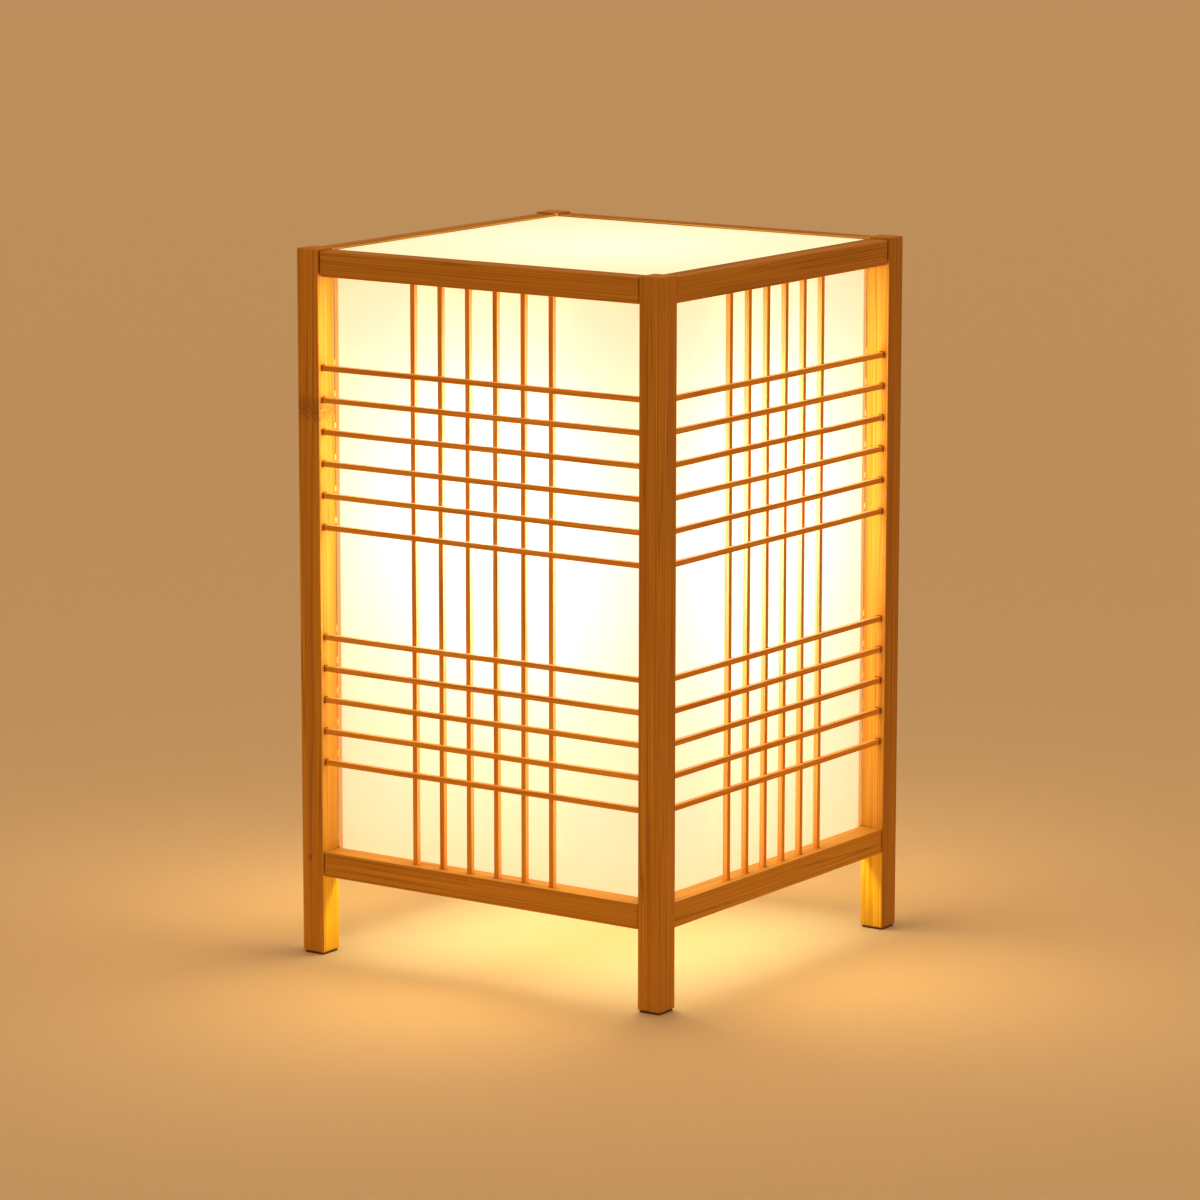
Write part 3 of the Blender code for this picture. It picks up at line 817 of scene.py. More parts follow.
def seat_carved(
    stick: Stick, node: str, draw: Draw, cut: Sequence[Surface], join: Sequence[Surface] = (), **own: Any
) -> None:
    """Carves a bamboo stick, marks its grain and seats it.

    Args:
        stick: the blank.
        node: the frame node that it stands for.
        draw: where its grain comes from.
        cut: what is cut away.
        join: what is added before that.
        **own: place of its bamboo node, its tone or its knot, as for the stick's marks.
    """
    name = "bamboo_" + node
    mesh = carved(stick.surface(), name, cut, join)
    write_marks(mesh, stick.marks(points_of(mesh), draw, **own))
    seat(object_of(mesh, name), BAMBOO, node)


@dataclass(frozen=True)
class Side:
    """A face of the lamp, seen from outside: x along it, y inwards from the post faces, z up."""

    name: str
    quarter: int  # quarter turns about Z from the front
    post: str  # at its left end
    tenon_above: bool  # its tenons lie over those of the neighbouring sides

    @property
    def axis(self) -> Axis:
        """The direction that its rails and level strips run in."""
        return Axis.Y if self.quarter % 2 else Axis.X

    @property
    def out(self) -> Vector:
        """The direction that it faces."""
        return Matrix.Rotation(self.quarter * RIGHT_ANGLE, 3, "Z") @ Vector((0.0, -1.0, 0.0))

    def box(self, low: Sequence[float], high: Sequence[float]) -> Box:
        """Turns a box of this side's own layout to its place.

        Args:
            low: its lowest corner.
            high: its highest corner.

        Returns:
            The box in the frame.
        """
        cosine, sine = (round(turn(self.quarter * RIGHT_ANGLE)) for turn in (math.cos, math.sin))
        corners = np.array([low, high]) - (0.0, Layout.HALF_SPAN, 0.0)
        placed = corners @ np.array([[cosine, sine, 0], [-sine, cosine, 0], [0, 0, 1]])
        return Box(placed.min(axis=0), placed.max(axis=0))


SIDES = (
    Side("front", 0, "front_left", True),
    Side("right", 1, "front_right", False),
    Side("rear", 2, "rear_right", True),
    Side("left", 3, "rear_left", False),
)


class Layout:
    """Sizes that several sub-assemblies share: read from the frame, or named as the frame was drawn."""

    POST = Box.of_node("post_front_left")
    BOTTOM_RAIL = Box.of_node("bottom_rail_front")
    TOP_RAIL = Box.of_node("top_rail_front")
    LATTICE = Box.of_node("lattice_front")
    PANEL = Box.of_node("top_panel")
    GLOBE = Box.of_node("bulb_globe")
    BULB_MIDDLE = (0.0, 0.0, GLOBE.top - GLOBE.radius)
    GLOW_RISE = 17 * MM  # the cap and holder shade what lies below
    GLOW_MIDDLE = (0.0, 0.0, BULB_MIDDLE[2] + GLOW_RISE)
    HALF_SPAN = -POST.low[0]
    POST_SIDE = POST.high[0] - POST.low[0]
    CLEAR_HALF = HALF_SPAN - POST_SIDE  # half the width between the posts
    RAIL_FRONT = HALF_SPAN + BOTTOM_RAIL.low[1]
    RAIL_BASES = (BOTTOM_RAIL.base, TOP_RAIL.base)
    RAIL_HEIGHT = BOTTOM_RAIL.top - BOTTOM_RAIL.base
    STRIP_FRONT = HALF_SPAN + LATTICE.low[1]
    STRIP_BACK = HALF_SPAN + LATTICE.high[1]
    TENON_WIDTH = 5.0 * MM
    TENON_SHOULDER = 1.5 * MM
    TENON_WALL = 1.2 * MM  # post left between the tenons of two rails
    UPRIGHT_WIDTH = 2.45 * MM  # split strips, a little wider than they are drawn in the frame
    UPRIGHT_DEPTH = 2.5 * MM
    UPRIGHT_COUNT = 6
    UPRIGHT_PITCH = 15.2 * MM
    UPRIGHTS = (np.arange(UPRIGHT_COUNT) - (UPRIGHT_COUNT - 1) / 2) * UPRIGHT_PITCH
    LEVEL_WIDTH = 2.5 * MM
    LEVEL_DEPTH = 2.5 * MM
    LEVEL_COUNTS = (6, 5)  # under the top rail and over the bottom rail
    LEVEL_MARGIN = 42.0 * MM  # nearest level strip's middle from a rail
    LEVEL_PITCH = 14.7 * MM
    LEVELS = np.concatenate([
        TOP_RAIL.base - LEVEL_MARGIN - np.arange(LEVEL_COUNTS[0]) * LEVEL_PITCH,
        BOTTOM_RAIL.top + LEVEL_MARGIN + np.arange(LEVEL_COUNTS[1]) * LEVEL_PITCH,
    ])
    ROD_HOLE = 5.3 * MM
    SCREW_PITCH = 3.62 * MM  # of the holder's sleeve and the bulb's cap

    @classmethod
    def level_strip(cls, side: Side, height: float) -> Box:
        """A level strip from socket to socket.

        Args:
            side: the side that it belongs to.
            height: of its middle.

        Returns:
            Its box.
        """
        half = cls.LATTICE.high[0]
        low = (-half, cls.STRIP_FRONT, height - cls.LEVEL_WIDTH / 2)
        return side.box(low, (half, cls.STRIP_FRONT + cls.LEVEL_DEPTH, height + cls.LEVEL_WIDTH / 2))

    @classmethod
    def upright_strip(cls, side: Side, place: float) -> Box:
        """An upright strip from socket to socket."""
        low = (place - cls.UPRIGHT_WIDTH / 2, cls.STRIP_BACK - cls.UPRIGHT_DEPTH, cls.LATTICE.base)
        return side.box(low, (place + cls.UPRIGHT_WIDTH / 2, cls.STRIP_BACK, cls.LATTICE.top))

    @classmethod
    def tenons(cls, side: Side, rail_base: float) -> Box:
        """A rail's two tenons and the wood between them, above or below the rail's middle.

        Args:
            side: the side that the rail belongs to.
            rail_base: the rail's underside.

        Returns:
            Their box.
        """
        half = cls.BOTTOM_RAIL.high[0]
        front = (cls.RAIL_FRONT + cls.POST_SIDE - cls.TENON_WIDTH) / 2
        middle = rail_base + cls.RAIL_HEIGHT / 2
        low, high = rail_base + cls.TENON_SHOULDER, middle - cls.TENON_WALL / 2
        if side.tenon_above:
            low, high = middle + cls.TENON_WALL / 2, rail_base + cls.RAIL_HEIGHT - cls.TENON_SHOULDER
        return side.box((-half, front, low), (half, front + cls.TENON_WIDTH, high))


@dataclass(frozen=True)
class PostFrame:
    """Four mortised posts on felt pads, and the tenoned rails between them."""

    draw: Draw  # where grain comes from
    rings: int = 6  # sections along a post or rail
    post_ease: float = 0.45 * MM
    rail_ease: float = 0.3 * MM
    rail_play: tuple = (0.5 * MM, 0.8 * MM)  # a dark line between bottom or top rails and the posts
    pad_ease: float = 0.3 * MM
    rebate_width: float = 1.2 * MM
    rebate_cut: float = 5.0 * MM  # width of its cutter, which runs out at the rail's back
    node_heights: tuple = (0.2572, FAR_FROM_NODE, FAR_FROM_NODE, 0.186)  # of the posts, front left first
    tones: tuple = (0.5, 0.55, 0.0, 0.4)  # of the posts, 0 to 1, in the same order
    knot: tuple = (-0.0955, -0.1, 0.0455)  # a small one, low on the front left post

    def build(self) -> None:
        """Builds and dresses the posts, pads and rails."""
        for index, side in enumerate(SIDES):
            self.build_post(side, SIDES[index - 1], self.node_heights[index], self.tones[index])
            for rail, base, play in zip(Rail, Layout.RAIL_BASES, self.rail_play):
                self.build_rail(side, rail, base, play)

    def build_post(self, side: Side, before: Side, node_at: float, tone: float) -> None:
        """A post and its pad, at the left end of a side; it is cut for the strips and tenons of two sides.

        Args:
            side: the side.
            before: its neighbour on the left.
            node_at: height of the post's bamboo node.
            tone: tone of its bamboo.
        """
        node, pad = (kind + side.post for kind in ("post_", "foot_pad_"))
        sockets = []
        for owner in (side, before):
            sockets += [Layout.level_strip(owner, height) for height in Layout.LEVELS]
            sockets += [Layout.tenons(owner, base) for base in Layout.RAIL_BASES]
        stick = Stick(Box.of_node(node), Axis.Z, self.post_ease, self.rings)
        cuts = [box.grown().surface() for box in sockets]
        seat_carved(stick, node, self.draw, cuts, node_at=node_at, tone=tone, knot=self.knot)
        felt = Stick(Box.of_node(pad), Axis.Z, self.pad_ease).surface()
        seat(felt.mesh_object("felt_" + pad), FELT, pad)

    def build_rail(self, side: Side, rail: Rail, base: float, play: float) -> None:
        """A rail with its tenons and the sockets of the upright strips.

        Args:
            side: the side that it belongs to.
            rail: which of its two rails.
            base: its underside.
            play: between its shoulders and the posts.
        """
        half = Layout.CLEAR_HALF - play
        top = base + Layout.RAIL_HEIGHT
        box = side.box((-half, Layout.RAIL_FRONT, base), (half, Layout.POST_SIDE, top))
        cuts = [Layout.upright_strip(side, spot).grown() for spot in Layout.UPRIGHTS]
        if rail is Rail.TOP:
            ledge = Layout.POST_SIDE - self.rebate_width
            low = (-half - BEYOND, ledge, Layout.PANEL.base - CLEARANCE)
            cuts.append(side.box(low, (half + BEYOND, ledge + self.rebate_cut, top + BEYOND)))
        elif side.axis is Axis.X:
            cuts.append(Box.of_node("crossbar").grown())
        stick = Stick(box, side.axis, self.rail_ease, self.rings)
        tenons = [Layout.tenons(side, base).surface()]
        node = f"{rail.value}_rail_{side.name}"
        seat_carved(stick, node, self.draw, [cut.surface() for cut in cuts], tenons)


@dataclass(frozen=True)
class Lattice:
    """The strips of each face: level ones in front, upright ones let into their backs."""

    draw: Draw  # where grain, tone and stray come from
    ease: float = 0.15 * MM
    sway: float = 0.08 * MM
    rings: int = 16

    def build(self) -> None:
        """Builds and dresses the strips of every side, each with its own grain and stray."""
        socket = Layout.LATTICE.high[0] - Layout.CLEAR_HALF
        for side in SIDES:
            levels = [Layout.level_strip(side, height) for height in Layout.LEVELS]
            uprights = [Layout.upright_strip(side, place) for place in Layout.UPRIGHTS]
            for kind, boxes, axis, tip in (
                ("level_strips_", levels, side.axis, socket), ("upright_strips_", uprights, Axis.Z, 0.0)
            ):
                sticks = [Stick(box, axis, self.ease, self.rings, self.sway, tip) for box in boxes]
                strips = joined([stick.marked_surface(self.draw) for stick in sticks])
                seat(strips.mesh_object(kind + side.name), STRIP, "lattice_" + side.name)


@dataclass(frozen=True)
class PaperShade:
    """Paper sheets behind the lattice, the battens behind their edges, and the loose top panel."""

    draw: Draw  # where grain and the paper's waves come from
    batten_ease: float = 0.2 * MM
    batten_rings: int = 12
    cockle: float = 0.12 * MM  # how far the paper stands off flat
    waves: tuple = ((5.0, 7.0), (9.0, -4.0))  # of the cockle: radians across and up a sheet
    paper_wall: float = 0.35 * MM
    paper_play: float = 0.05 * MM  # between its edges and the posts
    paper_steps: tuple = (40, 60)  # points across and up
    panel_ease: float = 0.3 * MM
    panel_facets: int = 2  # of an eased edge

    def build(self) -> None:
        """Builds and dresses the sheets, the battens and the top panel."""
        for side in SIDES:
            self.build_paper(side)
            node = "paper_batten_" + side.post
            batten = Stick(Box.of_node(node), Axis.Z, self.batten_ease, self.batten_rings)
            seat(batten.marked_surface(self.draw).mesh_object("split_" + node), STRIP, node)
        self.build_top_panel()

    def build_paper(self, side: Side) -> None:
        """A sheet of paper that cockles a little between its glued edges.

        Across (u) and up (v), both 0 to 1, it stands off flat by cockle times sin(pi u) sin(pi v), which
        holds the edges, times the mean of two slow waves.

        Args:
            side: the side that it backs.
        """
        node = "paper_panel_" + side.name
        box = Box.of_node(node)
        along, depth = side.axis.value, 1 - side.axis.value
        across, up = np.meshgrid(*(np.linspace(0, 1, count) for count in self.paper_steps), indexing="ij")
        phases = self.draw.uniform(0, math.tau, 2)
        waves = sum(np.sin(u * across + v * up + phase) for (u, v), phase in zip(self.waves, phases))
        bulge = self.cockle * np.sin(math.pi * across) * np.sin(math.pi * up) * waves / 2
        points = np.empty((*across.shape, 3))
        points[..., along] = (2 * across - 1) * (Layout.CLEAR_HALF - self.paper_play)
        points[..., depth] = (box.low[depth] + box.high[depth]) / 2 + bulge
        points[..., 2] = box.base + up * (box.top - box.base)
        rows, columns = self.paper_steps
        quads = [quad for quad in grid_faces(rows, columns) if quad[1] % columns]
        piece = Surface(points.reshape(-1, 3), quads).mesh_object("sheet_" + node)
        wall = piece.modifiers.new("paper_wall", "SOLIDIFY")
        wall.thickness = self.paper_wall
        wall.offset = 0.0
        seat(piece, PAPER, node)

    def build_top_panel(self) -> None:
        """The top panel: a sheet with its corners notched round the posts and its edges eased."""
        box = Layout.PANEL
        edge, notch = box.high[0], Layout.CLEAR_HALF - CLEARANCE
        corner = np.array([(edge, notch), (notch, notch), (notch, edge)])
        turns = [np.array(Matrix.Rotation(-turn * RIGHT_ANGLE, 2)) for turn in range(4)]
        outline = np.concatenate([corner @ turn for turn in turns])
        count = len(outline)
        levels = np.repeat([box.base, box.top], count)
        points = np.column_stack([np.tile(outline, (2, 1)), levels])
        caps = [list(range(count))[::-1], list(range(count, 2 * count))]
        panel = Surface(points, grid_faces(2, count) + caps).mesh_object("opal_top_panel")
        ease = panel.modifiers.new("eased_edges", "BEVEL")
        ease.width = self.panel_ease
        ease.segments = self.panel_facets
        seat(panel, OPAL, "top_panel", body=Body.TOP_PANEL)


def eased_ring(inner: float, box: Box, ease: float) -> tuple[Array, Array]:
    """Section of a ring with eased corners: four quarter circles about points one ease inside the corners.

    Args:
        inner: radius of the bore.
        box: what the ring fills.
        ease: radius of the corners.

    Returns:
        Radii and heights, in order round the section.
    """
    angle = np.linspace(0, RIGHT_ANGLE, ARC_STEPS + 1) + np.arange(4)[:, None] * RIGHT_ANGLE
    outer, inner, top, base = box.radius - ease, inner + ease, box.top - ease, box.base + ease
    radius = np.array([outer, inner, inner, outer])[:, None] + ease * np.cos(angle)
    height = np.array([top, top, base, base])[:, None] + ease * np.sin(angle)
    return radius.ravel()[::-1], height.ravel()[::-1]


def capped(radii: Array, heights: Array) -> tuple[Array, Array]:
    """Closes a profile to the axis, with a point of radius 0 at its first and last height."""
    return np.r_[0, radii, 0], np.r_[heights[0], heights, heights[-1]]


def thread_turns(heights: Array, pitch: float, columns: int) -> Array:
    """Turns of a thread below each height, at each step round: height / pitch - share of a turn."""
    return heights / pitch - np.linspace(0, 1, columns, endpoint=False)


@dataclass(frozen=True)
class LampStand:
    """The crossbar between the bottom rails, and the hollow rod in it with its nuts and stem tube."""

    draw: Draw  # where grain comes from
    bar_ease: float = 0.8 * MM
    bar_rings: int = 6
    drill_steps: int = 48
    bore: float = 3.5 * MM
    thread_pitch: float = 1.5 * MM  # a real rod has 1 mm, drawn coarser so that it shows
    thread_depth: float = 0.45 * MM
    rod_columns: int = 36
    rows_a_turn: int = 6
    nut_chamfer: float = 0.6 * MM
    nut_columns: int = 48
    edge: float = 0.3 * MM
    ring_steps: int = 64

    def build(self) -> None:
        """Builds and dresses the crossbar and what stands in it."""
        self.build_crossbar()
        self.build_rod()
        for node in ("lock_nut", "holder_nut"):
            self.build_nut(node)
        for node, finish in (("washer", ZINC), ("stem_tube", BRASS)):
            ring = eased_ring(Layout.ROD_HOLE, Box.of_node(node), self.edge)
            seat(turned(*ring, self.ring_steps, True).mesh_object("turned_" + node), finish, node)

    def build_crossbar(self) -> None:
        """A bamboo bar with the rod's hole through its middle."""
        stick = Stick(Box.of_node("crossbar"), Axis.Y, self.bar_ease, self.bar_rings)
        radii = np.full(2, Layout.ROD_HOLE)
        heights = np.array([stick.box.base - BEYOND, stick.box.top + BEYOND])
        seat_carved(stick, "crossbar", self.draw, [turned(*capped(radii, heights), self.drill_steps, False)])

    def build_rod(self) -> None:
        """The threaded rod: its radius falls by depth times a triangle wave of (height / pitch - turn)."""
        box = Box.of_node("threaded_rod")
        rows = int((box.top - box.base) / self.thread_pitch * self.rows_a_turn)
        heights = np.linspace(box.base, box.top, rows)[:, None]
        wave = np.abs(2 * (thread_turns(heights, self.thread_pitch, self.rod_columns) % 1) - 1)
        ends = np.clip(np.minimum(heights - box.base, box.top - heights) / self.thread_pitch, 0, 1)
        outside = box.radius - self.thread_depth * (1 - ends * wave)
        radii = np.concatenate([outside, np.full((2, self.rod_columns), self.bore)])
        levels = np.concatenate([heights, [[box.top], [box.base]]])
        piece = turned(radii, levels, self.rod_columns, True).mesh_object("threaded_lamp_rod")
        seat(piece, ZINC, "threaded_rod")

    def build_nut(self, node: str) -> None:
        """A nut: a hexagon, flat / cos(angle from the flat's middle), its corners turned off at both ends.

        Args:
            node: the frame node that it stands for.
        """
        box = Box.of_node(node)
        flat = box.high[1]
        angle = np.linspace(0, math.tau, self.nut_columns, endpoint=False)
        hexagon = flat / np.cos((angle % (math.pi / 3)) - math.pi / 6)
        chamfered = np.minimum(hexagon, flat)
        bore = np.full(self.nut_columns, Layout.ROD_HOLE)
        low, high = box.base + self.nut_chamfer, box.top - self.nut_chamfer
        levels = np.array([box.base, box.base, low, high, box.top, box.top])
        radii = np.stack([bore, chamfered, hexagon, hexagon, chamfered, bore])
        seat(turned(radii, levels, self.nut_columns, True).mesh_object("hexagon_" + node), ZINC, node)


@dataclass(frozen=True)
class LampHolder:
    """The screw lamp holder: base cup, porcelain insert, contact, threaded sleeve and ribbed shell."""

    columns: int = 96
    wall: float = 2.4 * MM
    ledge: float = 2.0 * MM
    floor: float = 3.0 * MM
    nut_room: float = 3.0 * MM  # round the nut in the base cup
    edge: float = 0.5 * MM
    lip: float = 0.8 * MM  # how far the shell's lip covers the sleeve
    ribs: int = 36
    rib_depth: float = 0.45 * MM
    rib_columns: int = 288
    rib_levels: tuple = (0.0, 0.12, 0.2, 0.62, 0.7, 0.9)  # shares of the shell's height
    rib_shares: tuple = (0, 0, 1, 1, 0, 0)  # of the ribs' depth at these levels
    thread_depth: float = 0.45 * MM
    sleeve_wall: float = 0.35 * MM
    sleeve_rows: int = 80
    solid_steps: int = 64  # points round the insert and the contact

    def build(self) -> None:
        """Builds and dresses the holder's pieces."""
        self.build_base()
        self.build_shell()
        self.build_sleeve()
        for node, finish in (("holder_insert", PORCELAIN), ("holder_contact", BRASS)):
            box = Box.of_node(node)
            radii, heights = eased_ring(0.0, box, self.edge)
            rim = np.flatnonzero(radii > box.radius / 2)
            rim = rim[np.argsort(heights[rim], kind="stable")]
            solid = turned(*capped(radii[rim], heights[rim]), self.solid_steps, False)
            seat(solid.mesh_object("round_" + node), finish, node)

    def build_base(self) -> None:
        """The base cup: a cone that opens to a stepped rim, which carries the insert."""
        box, nut, insert = (Box.of_node(node) for node in ("holder_base", "holder_nut", "holder_insert"))
        outer, inner, hole = box.radius, box.radius - self.wall, Layout.ROD_HOLE
        foot, step = nut.radius + self.nut_room, insert.base - CLEARANCE
        base, floor, top = box.base, box.base + self.floor, box.top
        radii, heights = np.array([
            (hole, base), (foot + self.wall, base), (outer, step), (outer, top - self.edge),
            (outer - self.edge, top), (inner, top), (inner, step), (inner - self.ledge, step), (foot, floor),
            (hole, floor),
        ]).T
        cup = turned(radii, heights, self.columns, True)
        seat(cup.mesh_object("phenolic_holder_base"), PHENOLIC, "holder_base")

    def build_shell(self) -> None:
        """The shell: a sleeve with grip ribs, (1 - cos(ribs x angle)) / 2 deep, and a turned-in lip."""
        box, sleeve = Box.of_node("holder_shell"), Box.of_node("screw_sleeve")
        outer, base, top = box.radius, box.base, box.top
        inner, bore, lip = outer - self.wall, sleeve.radius - self.lip, sleeve.top + CLEARANCE
        grip = np.array(self.rib_levels) * (top - base) + base
        depth = np.array(self.rib_shares)[:, None] * self.rib_depth
        angle = np.linspace(0, math.tau, self.rib_columns, endpoint=False)
        fluted = outer - depth * (1 - np.cos(self.ribs * angle)) / 2
        plain, plain_heights = np.array([
            (outer, top - self.edge), (outer - self.edge, top), (bore, top), (bore, lip), (inner, lip),
            (inner, base),
        ]).T
        radii = np.concatenate([fluted, np.repeat(plain[:, None], self.rib_columns, axis=1)])
        shell = turned(radii, np.concatenate([grip, plain_heights]), self.rib_columns, True)
        seat(shell.mesh_object("phenolic_holder_shell"), PHENOLIC, "holder_shell")

    def build_sleeve(self) -> None:
        """The screw sleeve: a thin wall whose radius waves by cos(height / pitch - turn), as if rolled."""
        box = Box.of_node("screw_sleeve")
        heights = np.linspace(box.base, box.top, self.sleeve_rows)[:, None]
        turns = thread_turns(heights, Layout.SCREW_PITCH, self.columns)
        half_depth, half_wall = self.thread_depth / 2, self.sleeve_wall / 2
        wave = box.radius - half_depth - half_wall + half_depth * np.cos(math.tau * turns)
        radii = np.concatenate([wave + half_wall, wave[::-1] - half_wall])
        sleeve = turned(radii, np.concatenate([heights, heights[::-1]]), self.columns, True)
        seat(sleeve.mesh_object("brass_screw_sleeve"), BRASS, "screw_sleeve")


@dataclass(frozen=True)
class Bulb:
    """A frosted globe bulb on a screw cap with a rolled thread."""

    columns: int = 96
    flare_start: float = math.radians(-28)  # where the neck leaves the ball, from its equator
    flare_pull: float = 0.45  # length of the flare's handles, against its height
    neck_depth: float = 14.0 * MM  # neck inside the cap
    neck_play: float = 1.1 * MM  # between the neck and the cap's outside
    globe_wall: float = 0.8 * MM
    ball_rows: int = 40
    flare_rows: int = 16
    thread_depth: float = 0.9 * MM
    thread_start: float = 0.12  # share of the cap's height where the thread has its full depth
    thread_end: float = 0.9  # share where it has run out
    thread_fade: float = 0.1
    cap_wall: float = 0.5 * MM
    cap_rows: int = 100
    foot_draw: float = 1.5 * MM  # how far the cap's foot is drawn in
    foot_share: float = 0.06  # of its height
    end_dome: float = 0.75  # how far the end pieces are domed, against a half ball
    end_rows: int = 12
    end_steps: int = 64

    def build(self) -> None:
        """Builds and dresses the globe, cap, insulator and contact."""
        self.build_globe()
        self.build_cap()
        for node, finish in (("bulb_insulator", PHENOLIC), ("bulb_contact", BRASS)):
            self.build_end(node, finish)

    def build_globe(self) -> None:
        """The globe: a ball, a Bezier flare that leaves it smoothly, and a straight neck, turned about Z."""
        box = Layout.GLOBE
        ball = box.radius
        neck = Box.of_node("bulb_cap").radius - self.neck_play
        angle = np.linspace(RIGHT_ANGLE, self.flare_start, self.ball_rows)
        arc = np.column_stack([ball * np.cos(angle), box.top - ball + ball * np.sin(angle)])
        start, end = arc[-1], np.array([neck, box.base + self.neck_depth])
        pull = (start[1] - end[1]) * self.flare_pull
        away = start + pull * np.array([math.sin(self.flare_start), -math.cos(self.flare_start)])
        share = np.linspace(0, 1, self.flare_rows)[1:, None]
        handles = (start, away, end + (0, pull), end)
        weights = ((1 - share) ** 3, 3 * share * (1 - share) ** 2, 3 * share**2 * (1 - share), share**3)
        flare = sum(weight * handle for weight, handle in zip(weights, handles))
        radii, heights = np.concatenate([arc, flare, [[neck, box.base]]])[::-1].T
        piece = turned(radii, heights, self.columns, False).mesh_object("frosted_globe")
        wall = piece.modifiers.new("glass_wall", "SOLIDIFY")
        wall.thickness = self.globe_wall
        wall.offset = -1.0
        piece.visible_shadow = False  # it glows all over
        seat(piece, GLASS, "bulb_globe", body=Body.BULB)

    def build_cap(self) -> None:
        """The cap: its radius waves by cos(height / pitch - turn) between a plain rim and a drawn-in foot."""
        box = Box.of_node("bulb_cap")
        heights = np.linspace(box.base, box.top, self.cap_rows)[:, None]
        share = (heights - box.base) / (box.top - box.base)
        begun, left = share / self.thread_start, (self.thread_end - share) / self.thread_fade
        turns = thread_turns(heights, Layout.SCREW_PITCH, self.columns)
        wave = np.clip(begun, 0, 1) * np.clip(left, 0, 1) * (1 - np.cos(math.tau * turns)) / 2
        foot = self.foot_draw * (1 - np.clip(share / self.foot_share, 0, 1)) ** 2
        outside = box.radius - wave * self.thread_depth - foot
        axis = np.zeros((1, self.columns))
        radii = np.concatenate([axis, outside, (outside - self.cap_wall)[::-1], axis])
        levels = np.concatenate([heights[:1], heights, heights[::-1], heights[:1]])
        levels[-2:] += self.cap_wall
        cap = turned(radii, levels, self.columns, False)
        seat(cap.mesh_object("rolled_screw_cap"), ZINC, "bulb_cap", body=Body.BULB)

    def build_end(self, node: str, finish: Finish) -> None:
        """A turned end piece: a low dome, radius x sqrt(1 - dome x (1 - s)^2) at share s of its height.

        Args:
            node: the frame node that it stands for.
            finish: its finish.
        """
        box = Box.of_node(node)
        share = np.linspace(0, 1, self.end_rows)
        radii = box.radius * np.sqrt(1 - (1 - share) ** 2 * self.end_dome)
        heights = box.base + share * (box.top - box.base)
        dome = turned(*capped(radii, heights), self.end_steps, False)
        seat(dome.mesh_object("domed_" + node), finish, node, body=Body.BULB)


@dataclass(frozen=True)
class Glow:
    """Light of a sheet, which falls with powers of nearest way / way to its heart."""

    watts: tuple  # of red, green and blue
    core: tuple = (0.0, 0.0, 0.0)  # watts added near the heart
    rise: float = 38.0 * MM  # of the heart over the glow's middle; the frame is lit from higher than it looks
    fall: float = 2.0  # power of the watts
    core_fall: float = 6.0  # power of the core


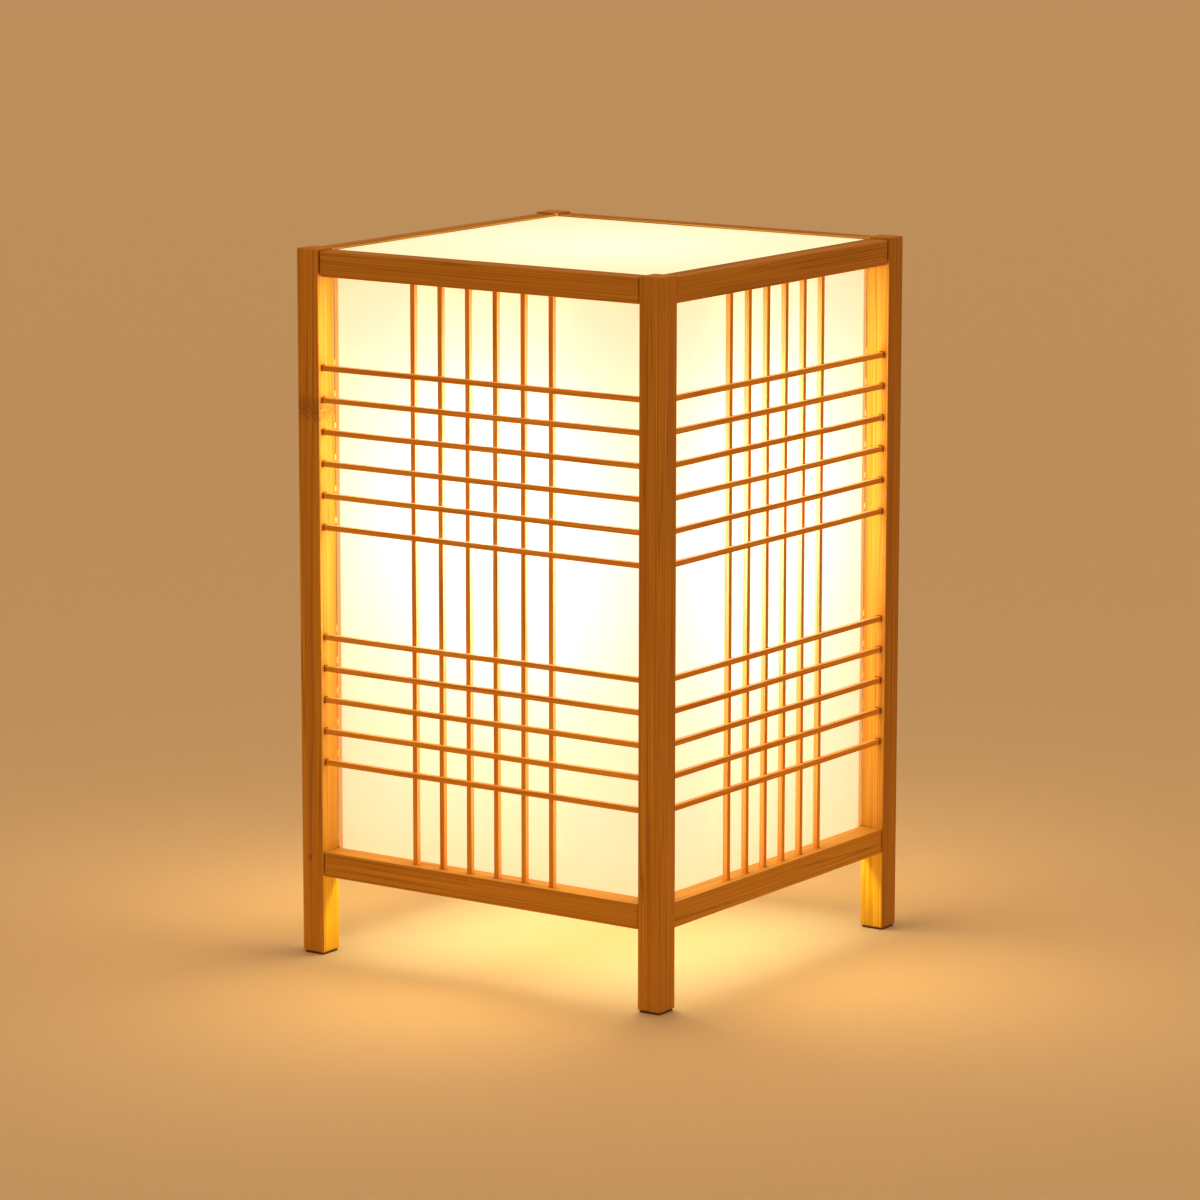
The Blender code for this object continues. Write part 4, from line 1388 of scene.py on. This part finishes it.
@dataclass(frozen=True)
class Studio:
    """A pale matt floor, soft light all round, the lamp's own light, and the camera."""

    azimuth: float = math.radians(34.65)
    elevation: float = math.radians(10.487)
    roll: float = math.radians(0.054)
    distance: float = 2.3498
    aim: tuple = (0.0, 0.0, 0.170)
    offset: tuple = (-1.24 * MM, -7.97 * MM)  # of the camera, right and up
    lens: float = 151.8
    sensor: float = 36.0
    floor_radii: tuple = (0.0, 0.5, 2.0, 14.0)  # of its rings of points
    floor_steps: int = 96
    room_light: tuple = (0.86, 0.53, 0.25)
    frame_glow: Glow = Glow((1.75, 1.45, 0.75))  # of a side's paper, on posts and rails
    strip_glow: Glow = Glow((1.15, 0.82, 0.8), (0.0, 0.8, 5.0), 10.0 * MM)  # strips are palest by the bulb
    floor_glow: Glow = Glow((0.6, 0.37, 0.12), (1.4, 0.86, 0.18), -110.0 * MM)  # of the paper's lower half
    top_glow: Glow = Glow((0.7, 0.7, 0.3))
    below_glow: Glow = Glow((0.5, 0.48, 0.08))  # of the bright floor
    below_size: float = 160.0 * MM
    below_height: float = 2.0 * MM
    glow_margin: float = 0.8 * MM  # between a side's light and the posts
    stand_off: float = 0.1 * MM  # of a light from its sheet
    floor_bulb: tuple = (0.85, 0.40, 0.0)  # watts of the bulb on the floor, as far as a picture can show it
    floor_bulb_radius: float = 80.0 * MM  # the light on the floor comes from paper and bulb together
    floor_bulb_drop: float = 95.0 * MM
    frame_bulb: tuple = (5.5, 5.5, 0.4)
    frame_bulb_radius: float = 30.0 * MM

    def build(self) -> None:
        """Builds the floor, the lights and the camera, and sets how light becomes colour."""
        self.build_floor()
        self.build_room_light()
        self.build_lamp_light()
        self.build_camera()
        view = bpy.context.scene.view_settings
        view.view_transform = "Standard"
        view.look = "None"

    def build_floor(self) -> None:
        """A round floor under the pads."""
        radii = np.array(self.floor_radii)
        floor = turned(radii, np.zeros(len(radii)), self.floor_steps, False).mesh_object("floor")
        FLOOR.dress(floor)

    def build_room_light(self) -> None:
        """Soft light of one colour from all round."""
        world = bpy.data.worlds.new("soft_room")
        world.use_nodes = True
        world.node_tree.nodes.clear()
        add = partial(add_node, world.node_tree)
        add("OutputWorld", {"Surface": add("Background", {"Color": (*self.room_light, 1.0)})})
        bpy.context.scene.world = world

    def build_lamp_light(self) -> None:
        """The light of each sheet, of the bulb and of the bright floor, on the lamp and on the floor.

        A sheet gives off far more light than a picture can show. So its own glow is as bright as the picture
        shows it, and lights in front of it light the frame, the strips and the floor, but not the sheets.
        """
        frame_lit, strips_lit, floor_lit = (
            bpy.data.collections.new(name) for name in ("lit_frame", "lit_strips", "lit_floor")
        )
        groups = {STRIP.name: strips_lit, FLOOR.name: floor_lit, PAPER.name: None, OPAL.name: None}
        for piece in (found for found in bpy.context.scene.objects if found.type == "MESH"):
            group = groups.get(piece.data.materials[0].name, frame_lit)
            if group is not None:
                group.objects.link(piece)

        low, high = Layout.BOTTOM_RAIL.top, Layout.TOP_RAIL.base
        size = (2 * (Layout.CLEAR_HALF - self.glow_margin), high - low)
        for side in SIDES:
            paper = Box.of_node("paper_panel_" + side.name)
            reach = np.abs(np.array([paper.low, paper.high]) @ np.array(side.out)).max() + self.stand_off
            place = side.out * reach + Vector((0, 0, (low + high) / 2))
            for glow, lit in (
                (self.frame_glow, frame_lit), (self.strip_glow, strips_lit), (self.floor_glow, floor_lit)
            ):
                self.add_sheet_light("glow_" + side.name, place, side.out, size, glow, lit)
        up = Vector((0, 0, 1))
        for name, height, width, glow in (
            ("glow_top", Layout.PANEL.top + self.stand_off, 2 * Layout.PANEL.high[0], self.top_glow),
            ("glow_below", self.below_height, self.below_size, self.below_glow),
        ):
            self.add_sheet_light(name, up * height, up, (width, width), glow, frame_lit)

        for watts, radius, drop, lit in (
            (self.floor_bulb, self.floor_bulb_radius, self.floor_bulb_drop, floor_lit),
            (self.frame_bulb, self.frame_bulb_radius, 0.0, frame_lit),
        ):
            bulb = bpy.data.lights.new("glow_bulb", "POINT")
            bulb.shadow_soft_size = radius
            bulb.energy = max(watts)
            bulb.color = [value / bulb.energy for value in watts]
            self.add_light(bulb, Matrix.Translation(Vector(Layout.BULB_MIDDLE) - up * drop), lit)

    def add_sheet_light(
        self, name: str, place: Vector, out: Vector, size: tuple[float, float], glow: Glow,
        lit: bpy.types.Collection
    ) -> None:
        """A flat light just outside a sheet, brightest near its heart.

        Args:
            name: the light's name.
            place: its middle.
            out: the direction it shines in.
            size: across, and up or towards the rear.
            glow: its watts and their fall.
            lit: pieces that it lights.
        """
        panel = bpy.data.lights.new(name, "AREA")
        panel.shape = "RECTANGLE"
        panel.size, panel.size_y = size
        panel.energy = 1.0  # its nodes give the watts
        panel.use_nodes = True
        panel.node_tree.nodes.clear()
        add = partial(add_node, panel.node_tree)
        heart = Vector(Layout.GLOW_MIDDLE) + Vector((0, 0, glow.rise))
        way = (add("NewGeometry", output="Position"), heart)
        distance = add("VectorMath", way, output="Value", operation="DISTANCE")
        share = add("Math", (abs((place - heart).dot(out)), distance), operation="DIVIDE")
        parts = []
        for watts, power in ((glow.watts, glow.fall), (glow.core, glow.core_fall)):
            strength = add("Math", (share, power), operation="POWER")
            parts.append(add("Emission", {"Color": (*watts, 1.0), "Strength": strength}))
        add("OutputLight", {"Surface": add("AddShader", parts)})
        turn = out.to_track_quat("-Z", "Y").to_matrix().to_4x4()
        self.add_light(panel, Matrix.Translation(place) @ turn, lit)

    def add_light(self, light: bpy.types.Light, place: Matrix, lit: bpy.types.Collection) -> None:
        """Links a light that shows neither to the camera nor as a shine, only by the pieces that it lights.

        Args:
            light: the light.
            place: where it stands and how it is turned.
            lit: pieces that it lights.
        """
        made = bpy.data.objects.new(light.name, light)
        made.matrix_world = place
        made.visible_camera = False
        made.visible_glossy = False
        made.light_linking.receiver_collection = lit
        bpy.context.scene.collection.objects.link(made)

    def build_camera(self) -> None:
        """The camera: back along its azimuth and elevation from the aim, then offset and rolled."""
        cos_a, sin_a = math.cos(self.azimuth), math.sin(self.azimuth)
        cos_e, sin_e = math.cos(self.elevation), math.sin(self.elevation)
        right = Vector((cos_a, sin_a, 0))
        back = Vector((sin_a * cos_e, -cos_a * cos_e, sin_e))
        up = back.cross(right)
        turn = Matrix((right, up, back)).transposed() @ Matrix.Rotation(self.roll, 3, "Z")
        place = Vector(self.aim) + right * self.offset[0] + up * self.offset[1] + back * self.distance
        camera = bpy.data.cameras.new("camera")
        camera.lens = self.lens
        camera.sensor_width = self.sensor
        made = bpy.data.objects.new("camera", camera)
        made.matrix_world = Matrix.Translation(place) @ turn.to_4x4()
        bpy.context.scene.collection.objects.link(made)
        bpy.context.scene.camera = made


def main() -> None:
    """Builds the lamp, sub-assembly by sub-assembly, then the studio."""
    logging.basicConfig(level=logging.INFO, format="%(name)s %(message)s")
    draw = np.random.default_rng(SEED)
    for assembly in (
        PostFrame(draw), Lattice(draw), PaperShade(draw), LampStand(draw), LampHolder(), Bulb(), Studio()
    ):
        assembly.build()
    bpy.context.view_layer.update()


if __name__ == "__main__":
    main()
